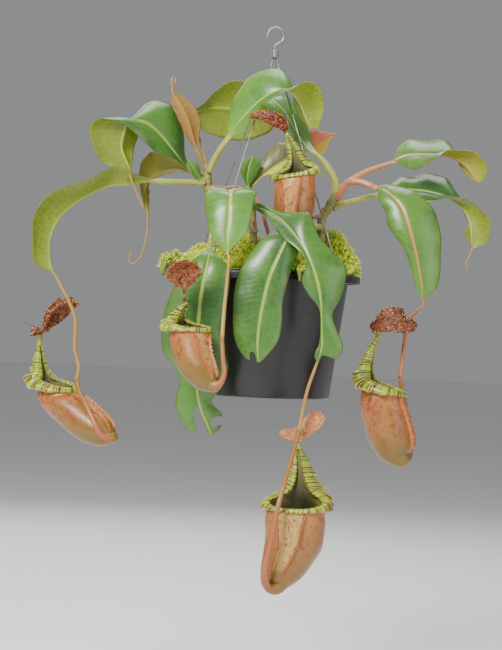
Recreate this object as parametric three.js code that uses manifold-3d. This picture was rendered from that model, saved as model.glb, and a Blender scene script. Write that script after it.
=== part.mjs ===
// Hanging pitcher plant in its wired pot. Millimetres, +Z up, seen from the front along +Y.
// The origin is where the hook bears on what the pot hangs from.
import * as THREE from "three";
import Module from "manifold-3d";
import { mergeVertices } from "three/addons/utils/BufferGeometryUtils.js";

const SEED = 20417;
const SEAT_GAP = 0.3; // clearance left between pieces that touch
const SLIVER = 0.06; // facets closer than this are merged after a cut
const SOFT_SLIVER = 0.2; // the same in the moss

// Pot, mix and hanger
const RIM_Z = -318;
const RIM_RADIUS = 124;
const RIM_BAND = 10;
const FLANGE_THICKNESS = 3;
const POT_HEIGHT = 160;
const POT_TOP_RADIUS = 109;
const POT_BASE_RADIUS = 90;
const POT_WALL = 2.2;
const POT_FLOOR = 3;
const POT_SIDES = 32;
const DRAIN_RADIUS = 5;
const DRAIN_CIRCLE = 55;
const DRAIN_ANGLES = [0, 60, 120, 180, 240, 300];
const MIX_DROP = 16; // mix surface below the rim
const WIRE_RADIUS = 0.9;
const WIRE_CIRCLE = 117; // where the wires pass the flange
const WIRE_HOLE_RADIUS = 1.5;
const WIRE_ANGLES = [53, 143, 233, 323];
const WIRE_NAMES = ["back_right", "back_left", "front_left", "front_right"];
const WIRE_SPREAD = 2.5; // wires from the hanger's axis, under the collar
const COLLAR_BOTTOM = -38;
const COLLAR_TOP = -28;
const COLLAR_RADIUS = 4.5;
const HOOK_WIRE_RADIUS = 1.5;

// Leaves
const MARGIN_HALF = 0.35; // half thickness at the margin
const BLADE_HALF = 0.5; // half thickness in the middle of each side
const PILLOW = 0.09; // how far each side arches, as a share of its width
const KEEL = 1.5; // how far the midrib stands out underneath
const PILLOW_AT = 0.52; // where each side arches most, from the midrib to the margin

// Pitchers
const CUP_WALL = 1.9;
const WING_HEIGHT = 2.6;
const LARGEST_MOUTH = 37; // half width of the mouth that the lip's reaches are read at
const CUP_TUCK = 0.55; // share of the way from the first ring to the mouth where a ring is added
const LID_THICKNESS = 2.6;

const wasm = await Module();
wasm.setup();

const plant = new THREE.Group();

const materials = {
  pot: new THREE.MeshStandardMaterial({ color: 0x1d1e1f, roughness: 0.45 }),
  mix: new THREE.MeshStandardMaterial({ color: 0x3c2c1e, roughness: 1 }),
  moss: new THREE.MeshStandardMaterial({ color: 0xa8b54a, roughness: 1 }),
  wire: new THREE.MeshStandardMaterial({ color: 0x70757a, roughness: 0.4, metalness: 0.9 }),
  stem: new THREE.MeshStandardMaterial({ color: 0x8a8248, roughness: 0.7 }),
  leaf: new THREE.MeshStandardMaterial({ color: 0x5f8a4a, roughness: 0.35 }),
  oldLeaf: new THREE.MeshStandardMaterial({ color: 0x9a7a3c, roughness: 0.5 }),
  cup: new THREE.MeshStandardMaterial({ color: 0xc98a5e, roughness: 0.45 }),
  lip: new THREE.MeshStandardMaterial({ color: 0xa9b64a, roughness: 0.25 }),
  lid: new THREE.MeshStandardMaterial({ color: 0xa0603a, roughness: 0.6 }),
};

// ---------------------------------------------------------------- shared construction

function vec(p) {
  return new THREE.Vector3(p[0], p[1], p[2]);
}

function seededRandom(seed) {
  let state = seed >>> 0;
  return () => {
    state = (state + 0x6d2b79f5) >>> 0;
    let t = state;
    t = Math.imul(t ^ (t >>> 15), t | 1);
    t ^= t + Math.imul(t ^ (t >>> 7), t | 61);
    return ((t ^ (t >>> 14)) >>> 0) / 4294967296;
  };
}

function meshGeometry(points, triangles) {
  const geometry = new THREE.BufferGeometry();
  const positions = points.flatMap((p) => [p.x, p.y, p.z]);
  geometry.setAttribute("position", new THREE.Float32BufferAttribute(positions, 3));
  geometry.setIndex(triangles.flat());
  return geometry;
}

// Skins a row of closed rings that all have the same number of points and closes both ends.
// Where leanRight(k) is true, the quad from point k to k + 1 is split along its other diagonal.
function loft(rings, leanRight = () => false, closed = false) {
  const count = rings[0].length;
  const points = rings.flat();
  const triangles = [];
  const spans = closed ? rings.length : rings.length - 1;
  for (let i = 0; i < spans; i++) {
    const near = i * count;
    const far = ((i + 1) % rings.length) * count;
    for (let k = 0; k < count; k++) {
      const next = (k + 1) % count;
      if (leanRight(k)) {
        triangles.push([near + k, near + next, far + k], [near + next, far + next, far + k]);
      } else {
        triangles.push([near + k, near + next, far + next], [near + k, far + next, far + k]);
      }
    }
  }
  if (!closed) {
    const middle = (ring) => {
      const sum = new THREE.Vector3();
      ring.forEach((p) => sum.add(p));
      return sum.divideScalar(ring.length);
    };
    const start = points.push(middle(rings[0])) - 1;
    const end = points.push(middle(rings[rings.length - 1])) - 1;
    const last = (rings.length - 1) * count;
    for (let k = 0; k < count; k++) {
      const next = (k + 1) % count;
      triangles.push([start, next, k], [end, last + k, last + next]);
    }
  }
  return meshGeometry(points, triangles);
}

function toManifold(geometry) {
  const bare = geometry.clone();
  bare.deleteAttribute("normal");
  bare.deleteAttribute("uv");
  const merged = mergeVertices(bare, 1e-4);
  return new wasm.Manifold(
    new wasm.Mesh({
      numProp: 3,
      vertProperties: new Float32Array(merged.attributes.position.array),
      triVerts: new Uint32Array(merged.index.array),
    }),
  );
}

function fromManifold(solid) {
  const mesh = solid.getMesh();
  const geometry = new THREE.BufferGeometry();
  geometry.setAttribute("position", new THREE.BufferAttribute(new Float32Array(mesh.vertProperties), 3));
  geometry.setIndex([...mesh.triVerts]);
  return geometry;
}

// Cuts clearances out of a solid and drops slivers and any crumb that comes loose.
function cutFree(solid, cuts, sliver = SLIVER) {
  const pieces = wasm.Manifold.difference([solid, ...cuts]).simplify(sliver).decompose();
  return pieces.reduce((a, b) => (a.volume() > b.volume() ? a : b));
}

// Directions along a line of points, each the average of its two neighbouring runs.
function tangents(line) {
  return line.map((p, i) => {
    const before = line[Math.max(i - 1, 0)];
    const after = line[Math.min(i + 1, line.length - 1)];
    return after.clone().sub(before).normalize();
  });
}

function square(direction, tangent) {
  return direction.clone().addScaledVector(tangent, -direction.dot(tangent)).normalize();
}

// A stalk through rows of [x, y, z, radius]; it may be grown all round by a clearance.
function stalk(rows, sides = 8, grow = 0) {
  const line = rows.map(vec);
  const along = tangents(line);
  let side = square(new THREE.Vector3(0.31, 0.9, 0.17), along[0]);
  const rings = line.map((centre, i) => {
    side = square(side, along[i]);
    const up = side.clone().cross(along[i]);
    const ring = [];
    for (let k = 0; k < sides; k++) {
      const turn = (-2 * Math.PI * k) / sides;
      const radius = rows[i][3] + grow;
      ring.push(
        centre
          .clone()
          .addScaledVector(side, radius * Math.cos(turn))
          .addScaledVector(up, radius * Math.sin(turn)),
      );
    }
    return ring;
  });
  return loft(rings);
}

function add(name, geometry, material) {
  const mesh = new THREE.Mesh(geometry, material);
  mesh.name = name;
  plant.add(mesh);
  return mesh;
}

// ---------------------------------------------------------------- stems

const STEMS = {
  stem_left: [
    [-60, -6, -395, 5.5], [-66, -6, -324, 5.5], [-69, -5, -278, 5.6], [-76, -2, -233, 6],
    [-80, 0, -203, 6], [-81, 0, -188, 4.6], [-82, 0, -181, 3.6],
  ],
  stem_right: [
    [74, -12, -389, 5.5], [73, -12, -317, 5.5], [70, -11, -267, 5.6], [71, -9, -243, 6],
    [78, -6, -230, 6.2], [85, -3, -217, 6.2], [87, -1, -209, 5],
  ],
  stem_centre: [
    [-8, -14, -392, 4.6], [-13, -14, -321, 4.6], [-17, -13, -270, 4.6], [-21, -11, -235, 4.8],
    [-25, -8, -217, 4.6], [-26, -7, -209, 3.4],
  ],
};
// What grew out of a stem and died back: fused to it.
const STEM_BRANCHES = {
  stem_left: [
    [[-82, 1, -185, 2.2], [-86, 4, -169, 2], [-90, 5, -154, 1.9], [-96, 5, -140, 1.4]],
    [
      [-78, -1, -207, 2.2], [-69, -5, -210, 2.2], [-56, -9, -210, 2.1],
      [-43, -10, -208, 2.1], [-33, -9, -211, 2],
    ],
  ],
  stem_right: [[[72, -9, -242, 4.2], [64, -14, -242, 3.6], [57, -18, -244, 2.6]]],
  stem_centre: [
    [[-19, -12, -244, 1.8], [-20, -20, -256, 1.8], [-16, -24, -265, 1.8], [-11, -24, -263, 1.5]],
  ],
};

function stemSolid(name, grow = 0) {
  let solid = toManifold(stalk(STEMS[name], 8, grow));
  STEM_BRANCHES[name].forEach((rows) => {
    solid = solid.add(toManifold(stalk(rows, 6, grow)));
  });
  return solid;
}

// ---------------------------------------------------------------- leaves

// Each leaf is one grown piece. Petiole and tendril rows are [x, y, z, radius].
// Blade rows are the midrib, the left margin and the right margin, from base to tip,
// left and right as seen from above by someone looking towards the tip.
const LEAVES = {
  // arches out to the left and hangs; carries the left pitcher
  leaf_left_long: {
    petiole: [
      [-83, -4, -205, 4.4], [-103, -7, -205, 4], [-131, -13, -206, 4], [-146, -16, -206, 3.6],
    ],
    blade: [
      [[-156, -18, -207], [-156, -22, -203], [-157, -13, -205]],
      [[-182, -25, -212], [-179, -38, -197], [-181, -6, -201]],
      [[-208, -30, -217], [-202, -48, -193], [-208, 8, -198]],
      [[-232, -35, -229], [-229, -58, -210], [-236, 12, -212]],
      [[-254, -40, -246], [-258, -66, -220], [-264, 10, -225]],
      [[-270, -45, -267], [-287, -72, -240], [-287, 5, -246]],
      [[-277, -50, -293], [-297, -74, -266], [-296, 0, -275]],
      [[-276, -54, -312], [-297, -71, -304], [-294, -10, -305]],
      [[-273, -56, -324], [-291, -65, -323], [-286, -34, -324]],
      [[-270, -57, -331], [-273, -59, -330], [-271, -54, -331]],
    ],
    tendril: [
      [-263, -58, -341, 2], [-249, -60, -365, 2.2], [-239, -60, -390, 2.5], [-238, -60, -426, 2.6],
      [-232, -62, -448, 2.7], [-233, -76, -466, 2.8],
    ],
  },
  // rises to the left, its tip rolls over
  leaf_left_upper: {
    petiole: [
      [-83, -2, -202, 4], [-94, -2, -197, 3.6],
    ],
    blade: [
      [[-105, -3, -189], [-107, -6, -189], [-102, 1, -187]],
      [[-117, -9, -176], [-122, -19, -177], [-112, 6, -165]],
      [[-130, -18, -162], [-142, -36, -172], [-115, 4, -134]],
      [[-145, -30, -146], [-158, -50, -162], [-130, -4, -107]],
      [[-160, -42, -135], [-175, -62, -147], [-149, -10, -101]],
      [[-174, -50, -132], [-197, -74, -135], [-167, -18, -110]],
      [[-183, -52, -134], [-217, -77, -134], [-173, -24, -130]],
      [[-188, -50, -148], [-231, -71, -143], [-172, -26, -151]],
      [[-191, -44, -165], [-227, -61, -165], [-177, -27, -169]],
      [[-185, -38, -182], [-214, -48, -188], [-177, -28, -183]],
      [[-180, -35, -193], [-186, -38, -195], [-178, -32, -192]],
    ],
    tendril: [
      [-177, -31, -207, 1.8], [-169, -27, -224, 1.6], [-160, -24, -243, 1.3],
    ],
  },
  // short, behind the long one, with a dead tendril
  leaf_left_back: {
    petiole: [
      [-82, 2, -197, 3.4], [-93, 12, -192, 2.8],
    ],
    blade: [
      [[-104, 18, -190], [-104, 15, -187], [-104, 22, -192]],
      [[-117, 22, -186], [-117, 14, -177], [-118, 34, -188]],
      [[-133, 26, -187], [-139, 12, -170], [-133, 44, -192]],
      [[-147, 26, -194], [-156, 10, -167], [-149, 48, -198]],
      [[-157, 24, -202], [-167, 6, -181], [-158, 46, -206]],
      [[-162, 20, -213], [-170, 6, -200], [-157, 36, -214]],
      [[-161, 16, -225], [-167, 8, -216], [-156, 26, -223]],
      [[-158, 10, -241], [-161, 8, -238], [-155, 13, -240]],
    ],
    tendril: [
      [-156, 8, -250, 1.5], [-156, 4, -274, 1.4], [-160, 0, -298, 1.2], [-165, -2, -308, 1.1],
      [-172, -3, -314, 1.1], [-177, -3, -309, 1], [-175, -2, -299, 1],
    ],
  },
  // first leaf of a side shoot
  leaf_left_small: {
    petiole: [
      [-83, -8, -206, 1.8],
    ],
    blade: [
      [[-88, -9, -201], [-90, -11, -202], [-87, -7, -200]],
      [[-94, -13, -195], [-99, -17, -197], [-89, -9, -191]],
      [[-99, -17, -188], [-105, -22, -189], [-92, -12, -183]],
      [[-103, -19, -181], [-108, -22, -183], [-96, -15, -179]],
      [[-105, -19, -178], [-106, -20, -179], [-103, -18, -177]],
    ],
    tendril: [],
  },
  // still rolled, stands upright
  leaf_left_young: {
    petiole: [
      [-83, 3, -190, 2.8], [-87, 1, -179, 2.8], [-93, -3, -167, 2.4],
    ],
    blade: [
      [[-97, -5, -159], [-94, -3, -158], [-100, -7, -159]],
      [[-102, -9, -145], [-93, 0, -137], [-109, -14, -148]],
      [[-108, -12, -127], [-93, 1, -122], [-117, -18, -132]],
      [[-116, -14, -111], [-101, -2, -107], [-126, -20, -115]],
      [[-124, -14, -99], [-114, -6, -96], [-132, -18, -102]],
      [[-130, -14, -89], [-128, -12, -88], [-132, -16, -91]],
    ],
    tendril: [
      [-131, -14, -83, 1.3], [-132, -14, -77, 1.3], [-131, -13, -71, 1.2], [-127, -12, -72, 1.1],
      [-128, -12, -78, 1.1],
    ],
  },
  // highest, arches over to the right
  leaf_top: {
    petiole: [
      [-79, -6, -190, 4.4], [-73, -11, -176, 4], [-64, -16, -159, 3.7],
    ],
    blade: [
      [[-53, -22, -142], [-56, -21, -140], [-49, -24, -144]],
      [[-44, -26, -128], [-57, -18, -128], [-35, -34, -139]],
      [[-33, -32, -115], [-53, -14, -103], [-27, -43, -123]],
      [[-19, -38, -101], [-42, -14, -79], [-14, -52, -106]],
      [[-4, -44, -90], [-26, -18, -63], [0, -60, -95]],
      [[10, -46, -84], [-4, -20, -54], [13, -64, -88]],
      [[20, -44, -85], [14, -22, -59], [28, -66, -81]],
      [[28, -38, -91], [24, -18, -77], [45, -62, -73]],
      [[35, -30, -100], [27, -4, -91], [59, -50, -81]],
      [[42, -22, -114], [34, 6, -111], [65, -38, -95]],
      [[48, -18, -124], [43, 4, -120], [64, -28, -116]],
      [[52, -16, -129], [50, -14, -129], [60, -20, -128]],
    ],
    tendril: [],
  },
  // from the right crown over the back to the left
  leaf_back_arching: {
    petiole: [
      [83, -3, -223, 5.2], [88, 2, -210, 5.4], [86, 12, -193, 5.4], [75, 22, -174, 5],
      [63, 30, -162, 4.4],
    ],
    blade: [
      [[53, 37, -151], [49, 33, -156], [57, 40, -149]],
      [[41, 45, -139], [30, 46, -150], [55, 51, -141]],
      [[28, 50, -120], [17, 40, -131], [47, 58, -120]],
      [[14, 52, -100], [4, 38, -111], [33, 66, -96]],
      [[-4, 56, -86], [-12, 38, -98], [16, 74, -81]],
      [[-22, 62, -84], [-28, 38, -77], [2, 84, -122]],
      [[-38, 70, -90], [-39, 46, -65], [-17, 84, -135]],
      [[-53, 74, -99], [-61, 50, -67], [-44, 84, -141]],
      [[-72, 74, -99], [-77, 54, -80], [-66, 80, -138]],
      [[-88, 70, -101], [-89, 58, -94], [-87, 74, -132]],
      [[-101, 64, -107], [-101, 60, -103], [-102, 66, -123]],
      [[-108, 60, -113], [-108, 59, -111], [-107, 61, -117]],
    ],
    tendril: [],
  },
  // still folded, points to the right
  leaf_right_young: {
    petiole: [
      [84, 4, -220, 2.6], [85, 13, -213, 2.6], [84, 32, -189, 2.6], [74, 46, -168, 2.6],
      [60, 54, -155, 2.4],
    ],
    blade: [
      [[48, 58, -150], [46, 58, -148], [50, 59, -153]],
      [[53, 59, -147], [43, 62, -133], [59, 62, -155]],
      [[62, 58, -143], [55, 58, -125], [69, 64, -156]],
      [[71, 56, -138], [65, 52, -126], [76, 62, -147]],
      [[78, 54, -133], [75, 51, -128], [78, 57, -137]],
      [[83, 52, -130], [83, 51, -128], [84, 53, -131]],
    ],
    tendril: [
      [89, 51, -128, 1.5],
    ],
  },
  // from the centre crown up behind the top pitcher
  leaf_centre_back: {
    petiole: [
      [-25, -4, -211, 2.4],
    ],
    blade: [
      [[-23, -6, -206], [-25, -6, -205], [-21, -6, -207]],
      [[-15, -6, -198], [-19, -4, -191], [-11, -10, -196]],
      [[-6, -5, -189], [-12, 0, -175], [-2, -14, -191]],
      [[5, -4, -180], [-3, 4, -160], [10, -16, -191]],
      [[17, -2, -171], [11, 6, -148], [22, -14, -186]],
      [[27, 0, -165], [23, 6, -148], [30, -8, -175]],
      [[35, 2, -160], [33, 3, -157], [36, 1, -163]],
    ],
    tendril: [],
  },
  // small, at the centre crown
  leaf_centre_small: {
    petiole: [
      [-26, -10, -215, 1.8],
    ],
    blade: [
      [[-27, -11, -207], [-29, -11, -207], [-25, -11, -206]],
      [[-29, -14, -197], [-35, -16, -196], [-21, -12, -198]],
      [[-28, -17, -186], [-39, -20, -187], [-15, -14, -187]],
      [[-26, -18, -176], [-36, -21, -175], [-12, -15, -174]],
      [[-24, -18, -169], [-29, -19, -169], [-18, -17, -169]],
    ],
    tendril: [],
  },
  // comes forward and drops; carries the front left pitcher
  leaf_front_left: {
    petiole: [
      [-78, -3, -212, 3.8], [-75, -14, -213, 3.7], [-70, -40, -216, 3.4], [-62, -68, -219, 3.2],
    ],
    blade: [
      [[-56, -86, -219], [-50, -86, -219], [-61, -86, -220]],
      [[-52, -101, -219], [-33, -98, -218], [-70, -98, -221]],
      [[-49, -118, -220], [-20, -112, -217], [-78, -110, -222]],
      [[-47, -134, -225], [-15, -124, -220], [-80, -122, -227]],
      [[-48, -143, -239], [-19, -134, -236], [-79, -132, -242]],
      [[-48, -147, -255], [-21, -141, -253], [-76, -139, -257]],
      [[-49, -150, -272], [-25, -146, -272], [-71, -144, -274]],
      [[-49, -152, -286], [-36, -150, -285], [-61, -149, -287]],
      [[-48, -153, -297], [-46, -153, -297], [-51, -152, -298]],
    ],
    tendril: [
      [-46, -154, -306, 2], [-47, -156, -332, 2.1], [-49, -160, -368, 2.5], [-50, -168, -406, 2.8],
    ],
  },
  // comes forward over the rim and hangs, its tip notched
  leaf_front_centre: {
    petiole: [
      [67, -10, -257, 3.6], [68, -50, -257, 3.4], [61, -84, -258, 3.2],
    ],
    blade: [
      [[48, -103, -260], [51, -104, -261], [45, -102, -260]],
      [[37, -114, -263], [48, -112, -267], [26, -112, -262]],
      [[31, -127, -269], [45, -122, -280], [14, -122, -266]],
      [[24, -134, -279], [40, -128, -293], [-4, -128, -277]],
      [[16, -138, -297], [35, -132, -308], [-21, -131, -297]],
      [[8, -141, -317], [30, -136, -323], [-32, -134, -320]],
      [[2, -142, -340], [26, -138, -341], [-37, -135, -342]],
      [[-2, -143, -363], [23, -140, -361], [-38, -136, -366]],
      [[-5, -143, -386], [23, -141, -384], [-37, -137, -390]],
      [[-6, -143, -407], [19, -141, -405], [-32, -138, -411]],
      [[-5, -143, -422], [7, -142, -422], [-20, -139, -427]],
      [[-3, -142, -432], [-1, -142, -431], [-7, -141, -432]],
    ],
    tendril: [],
  },
  // twists as it hangs; carries the bottom pitcher
  leaf_front_right: {
    petiole: [
      [-23, -14, -226, 3.4], [-23, -40, -230, 3.2], [-25, -62, -233, 3],
    ],
    blade: [
      [[-22, -76, -234], [-22, -75, -230], [-22, -78, -239]],
      [[-10, -92, -238], [-8, -90, -233], [-12, -95, -243]],
      [[5, -108, -245], [11, -104, -241], [-1, -112, -251]],
      [[20, -122, -256], [32, -114, -243], [9, -125, -263]],
      [[33, -134, -271], [51, -125, -244], [20, -136, -277]],
      [[44, -143, -286], [64, -133, -272], [34, -144, -287]],
      [[51, -149, -299], [82, -137, -291], [44, -150, -296]],
      [[58, -153, -315], [99, -139, -309], [50, -153, -310]],
      [[65, -155, -333], [99, -141, -330], [45, -152, -329]],
      [[69, -154, -352], [94, -143, -349], [55, -151, -347]],
      [[71, -152, -370], [85, -145, -368], [69, -151, -363]],
      [[72, -151, -388], [91, -147, -388], [71, -150, -384]],
      [[73, -151, -404], [100, -148, -407], [70, -150, -405]],
      [[72, -151, -414], [93, -148, -423], [66, -150, -415]],
      [[71, -151, -421], [77, -150, -419], [65, -150, -422]],
      [[69, -151, -427], [71, -151, -427], [67, -151, -428]],
    ],
    tendril: [
      [64, -151, -443, 2], [58, -151, -464, 2.1], [53, -152, -492, 2.3], [50, -156, -515, 2.5],
    ],
  },
  // longest hanging blade, with a torn tip
  leaf_front_long: {
    petiole: [
      [-74, -5, -251, 3], [-71, -45, -257, 3], [-70, -80, -270, 2.9], [-71, -96, -283, 2.6],
    ],
    blade: [
      [[-71, -99, -293], [-68, -99, -294], [-74, -99, -294]],
      [[-72, -111, -302], [-59, -110, -303], [-87, -107, -304]],
      [[-74, -119, -318], [-48, -116, -313], [-99, -112, -317]],
      [[-77, -122, -335], [-44, -118, -330], [-110, -114, -335]],
      [[-79, -123, -355], [-45, -119, -351], [-119, -114, -357]],
      [[-80, -123, -378], [-49, -119, -373], [-125, -114, -377]],
      [[-81, -122, -400], [-52, -119, -395], [-127, -114, -400]],
      [[-81, -121, -423], [-49, -119, -419], [-123, -114, -425]],
      [[-81, -120, -443], [-41, -118, -439], [-109, -115, -442]],
      [[-80, -119, -463], [-50, -118, -467], [-101, -115, -461]],
      [[-76, -118, -483], [-60, -117, -485], [-105, -115, -484]],
      [[-71, -117, -499], [-47, -117, -498], [-101, -115, -501]],
      [[-64, -116, -512], [-47, -116, -515], [-94, -115, -516]],
      [[-59, -116, -525], [-56, -116, -525], [-78, -115, -524]],
    ],
    tendril: [],
  },
  // carries the right pitcher
  leaf_right_hanging: {
    petiole: [
      [88, -4, -218, 4.8], [95, -10, -206, 4.8], [103, -17, -196, 4.8], [117, -24, -196, 4.2],
      [130, -30, -200, 3.8],
    ],
    blade: [
      [[139, -35, -203], [141, -34, -200], [138, -35, -207]],
      [[147, -46, -204], [156, -40, -198], [140, -46, -210]],
      [[158, -58, -214], [176, -48, -203], [142, -54, -222]],
      [[169, -66, -228], [195, -54, -212], [150, -60, -235]],
      [[176, -71, -244], [210, -58, -228], [152, -64, -249]],
      [[182, -74, -262], [218, -60, -247], [159, -67, -261]],
      [[187, -75, -279], [222, -62, -268], [171, -69, -275]],
      [[192, -75, -298], [222, -64, -289], [182, -70, -297]],
      [[196, -74, -316], [222, -66, -311], [188, -71, -317]],
      [[199, -73, -330], [218, -68, -329], [192, -71, -331]],
      [[200, -72, -341], [204, -72, -343], [198, -72, -341]],
    ],
    tendril: [
      [202, -70, -348, 2], [198, -62, -357, 2.1], [189, -46, -369, 2.3], [184, -40, -389, 2.5],
      [181, -40, -419, 2.7], [179, -42, -445, 2.9],
    ],
  },
  // reaches right, its tip rolls under
  leaf_right_low: {
    petiole: [
      [84, -6, -231, 3.8], [97, -3, -224, 4], [119, 2, -217, 3.8], [133, 5, -212, 3.4],
    ],
    blade: [
      [[145, 6, -208], [145, 8, -205], [145, 4, -211]],
      [[157, 8, -204], [159, 18, -194], [158, -2, -211]],
      [[174, 9, -201], [175, 26, -184], [176, -8, -214]],
      [[191, 8, -201], [191, 30, -182], [192, -14, -216]],
      [[207, 5, -203], [211, 30, -177], [209, -20, -216]],
      [[223, 1, -207], [226, 26, -180], [226, -26, -213]],
      [[237, -4, -212], [239, 20, -190], [241, -31, -210]],
      [[249, -9, -220], [248, 14, -206], [256, -33, -213]],
      [[257, -13, -230], [254, 6, -224], [274, -33, -224]],
      [[262, -16, -242], [260, 0, -240], [285, -33, -239]],
      [[264, -18, -253], [257, -4, -252], [287, -32, -254]],
      [[265, -19, -264], [259, -10, -262], [282, -29, -268]],
      [[266, -20, -270], [264, -18, -269], [272, -23, -273]],
    ],
    tendril: [
      [266, -20, -275, 1.5], [263, -19, -284, 1.3], [259, -18, -294, 1.2], [262, -18, -300, 1.4],
    ],
  },
  // highest on the right, its tip rolls under
  leaf_right_upper: {
    petiole: [
      [90, 4, -208, 4.2], [102, 8, -196, 4.4], [118, 9, -185, 4.2], [132, 10, -177, 3.4],
      [147, 10, -171, 2.8],
    ],
    blade: [
      [[162, 10, -164], [162, 12, -161], [163, 8, -167]],
      [[172, 8, -159], [167, 22, -146], [174, -4, -171]],
      [[184, 4, -156], [181, 28, -134], [186, -16, -175]],
      [[198, -2, -155], [197, 28, -134], [201, -26, -171]],
      [[212, -8, -155], [213, 22, -133], [215, -36, -160]],
      [[226, -14, -156], [228, 14, -134], [228, -42, -151]],
      [[237, -18, -159], [240, 6, -145], [245, -44, -150]],
      [[248, -20, -165], [243, -2, -160], [262, -42, -153]],
      [[256, -22, -172], [248, -8, -169], [276, -38, -164]],
      [[262, -23, -180], [254, -15, -178], [279, -33, -176]],
      [[266, -24, -186], [263, -21, -186], [275, -28, -187]],
      [[269, -24, -189], [268, -24, -189], [271, -25, -189]],
    ],
    tendril: [],
  },
};

// Bites and the notch in hanging blades: outlines in x and z, cut straight through.
const BITES = {
  leaf_front_long: [
    [
      [-74, -530], [-79, -514], [-83, -499], [-80, -492],
      [-77, -491], [-73, -499], [-68, -512], [-61, -530],
    ],
    [[-38, -501], [-56, -503], [-60, -508], [-58, -516], [-49, -513], [-38, -509]],
  ],
  leaf_front_centre: [[[-14, -440], [-15, -426], [-14, -420], [-10, -420], [-7, -427], [-5, -440]]],
};

const BITE_START = -90; // the prisms run from here to the front
const BITE_DEPTH = 80;

function roundRing(centre, side, up, radius) {
  const ring = [];
  for (let k = 0; k < 10; k++) {
    const turn = (Math.PI / 10) * (9 - 2 * k);
    ring.push(
      centre
        .clone()
        .addScaledVector(side, radius * Math.cos(turn))
        .addScaledVector(up, radius * Math.sin(turn)),
    );
  }
  return ring;
}

// Ten points round a blade: left margin over the top to the right margin, and back underneath.
function bladeRing(rib, left, right, along, grow) {
  const leftUp = rib.clone().sub(left).cross(along).normalize();
  const rightUp = right.clone().sub(rib).cross(along).normalize();
  const up = leftUp.clone().add(rightUp).normalize();
  const half = (edge, edgeUp) => {
    const width = edge.distanceTo(rib);
    return rib
      .clone()
      .lerp(edge, PILLOW_AT)
      .addScaledVector(edgeUp, PILLOW * width);
  };
  const leftMid = half(left, leftUp);
  const rightMid = half(right, rightUp);
  const lifted = (p, direction, height) => p.clone().addScaledVector(direction, height);
  return [
    lifted(left, leftUp, MARGIN_HALF + grow),
    lifted(leftMid, leftUp, BLADE_HALF + grow),
    lifted(rib, up, BLADE_HALF + grow),
    lifted(rightMid, rightUp, BLADE_HALF + grow),
    lifted(right, rightUp, MARGIN_HALF + grow),
    lifted(right, rightUp, -MARGIN_HALF - grow),
    lifted(rightMid, rightUp, -BLADE_HALF - grow),
    lifted(rib, up, -KEEL - grow),
    lifted(leftMid, leftUp, -BLADE_HALF - grow),
    lifted(left, leftUp, -MARGIN_HALF - grow),
  ];
}

function leafGeometry({ petiole, blade, tendril }, grow = 0) {
  const line = [...petiole, ...blade.map((row) => row[0]), ...tendril].map(vec);
  const along = tangents(line);
  const rings = new Array(line.length);
  const first = petiole.length;
  const last = first + blade.length - 1;
  blade.forEach((row, i) => {
    rings[first + i] = bladeRing(vec(row[0]), vec(row[1]), vec(row[2]), along[first + i], grow);
  });
  // The round stretches carry the blade's own side direction on, away from it.
  let side = vec(blade[0][2]).sub(vec(blade[0][1]));
  for (let i = first - 1; i >= 0; i--) {
    side = square(side, along[i]);
    rings[i] = roundRing(line[i], side, side.clone().cross(along[i]), petiole[i][3] + grow);
  }
  const tip = blade[blade.length - 1];
  side = vec(tip[2]).sub(vec(tip[1]));
  for (let i = last + 1; i < line.length; i++) {
    side = square(side, along[i]);
    rings[i] = roundRing(line[i], side, side.clone().cross(along[i]), tendril[i - last - 1][3] + grow);
  }
  return loft(rings, (k) => k > 4);
}

function bite(outline) {
  const shape = new THREE.Shape(outline.map(([x, z]) => new THREE.Vector2(x, z)));
  const prism = new THREE.ExtrudeGeometry(shape, { depth: BITE_DEPTH, bevelEnabled: false });
  prism.rotateX(Math.PI / 2);
  prism.translate(0, BITE_START, 0);
  return toManifold(prism);
}

// ---------------------------------------------------------------- pitchers

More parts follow.
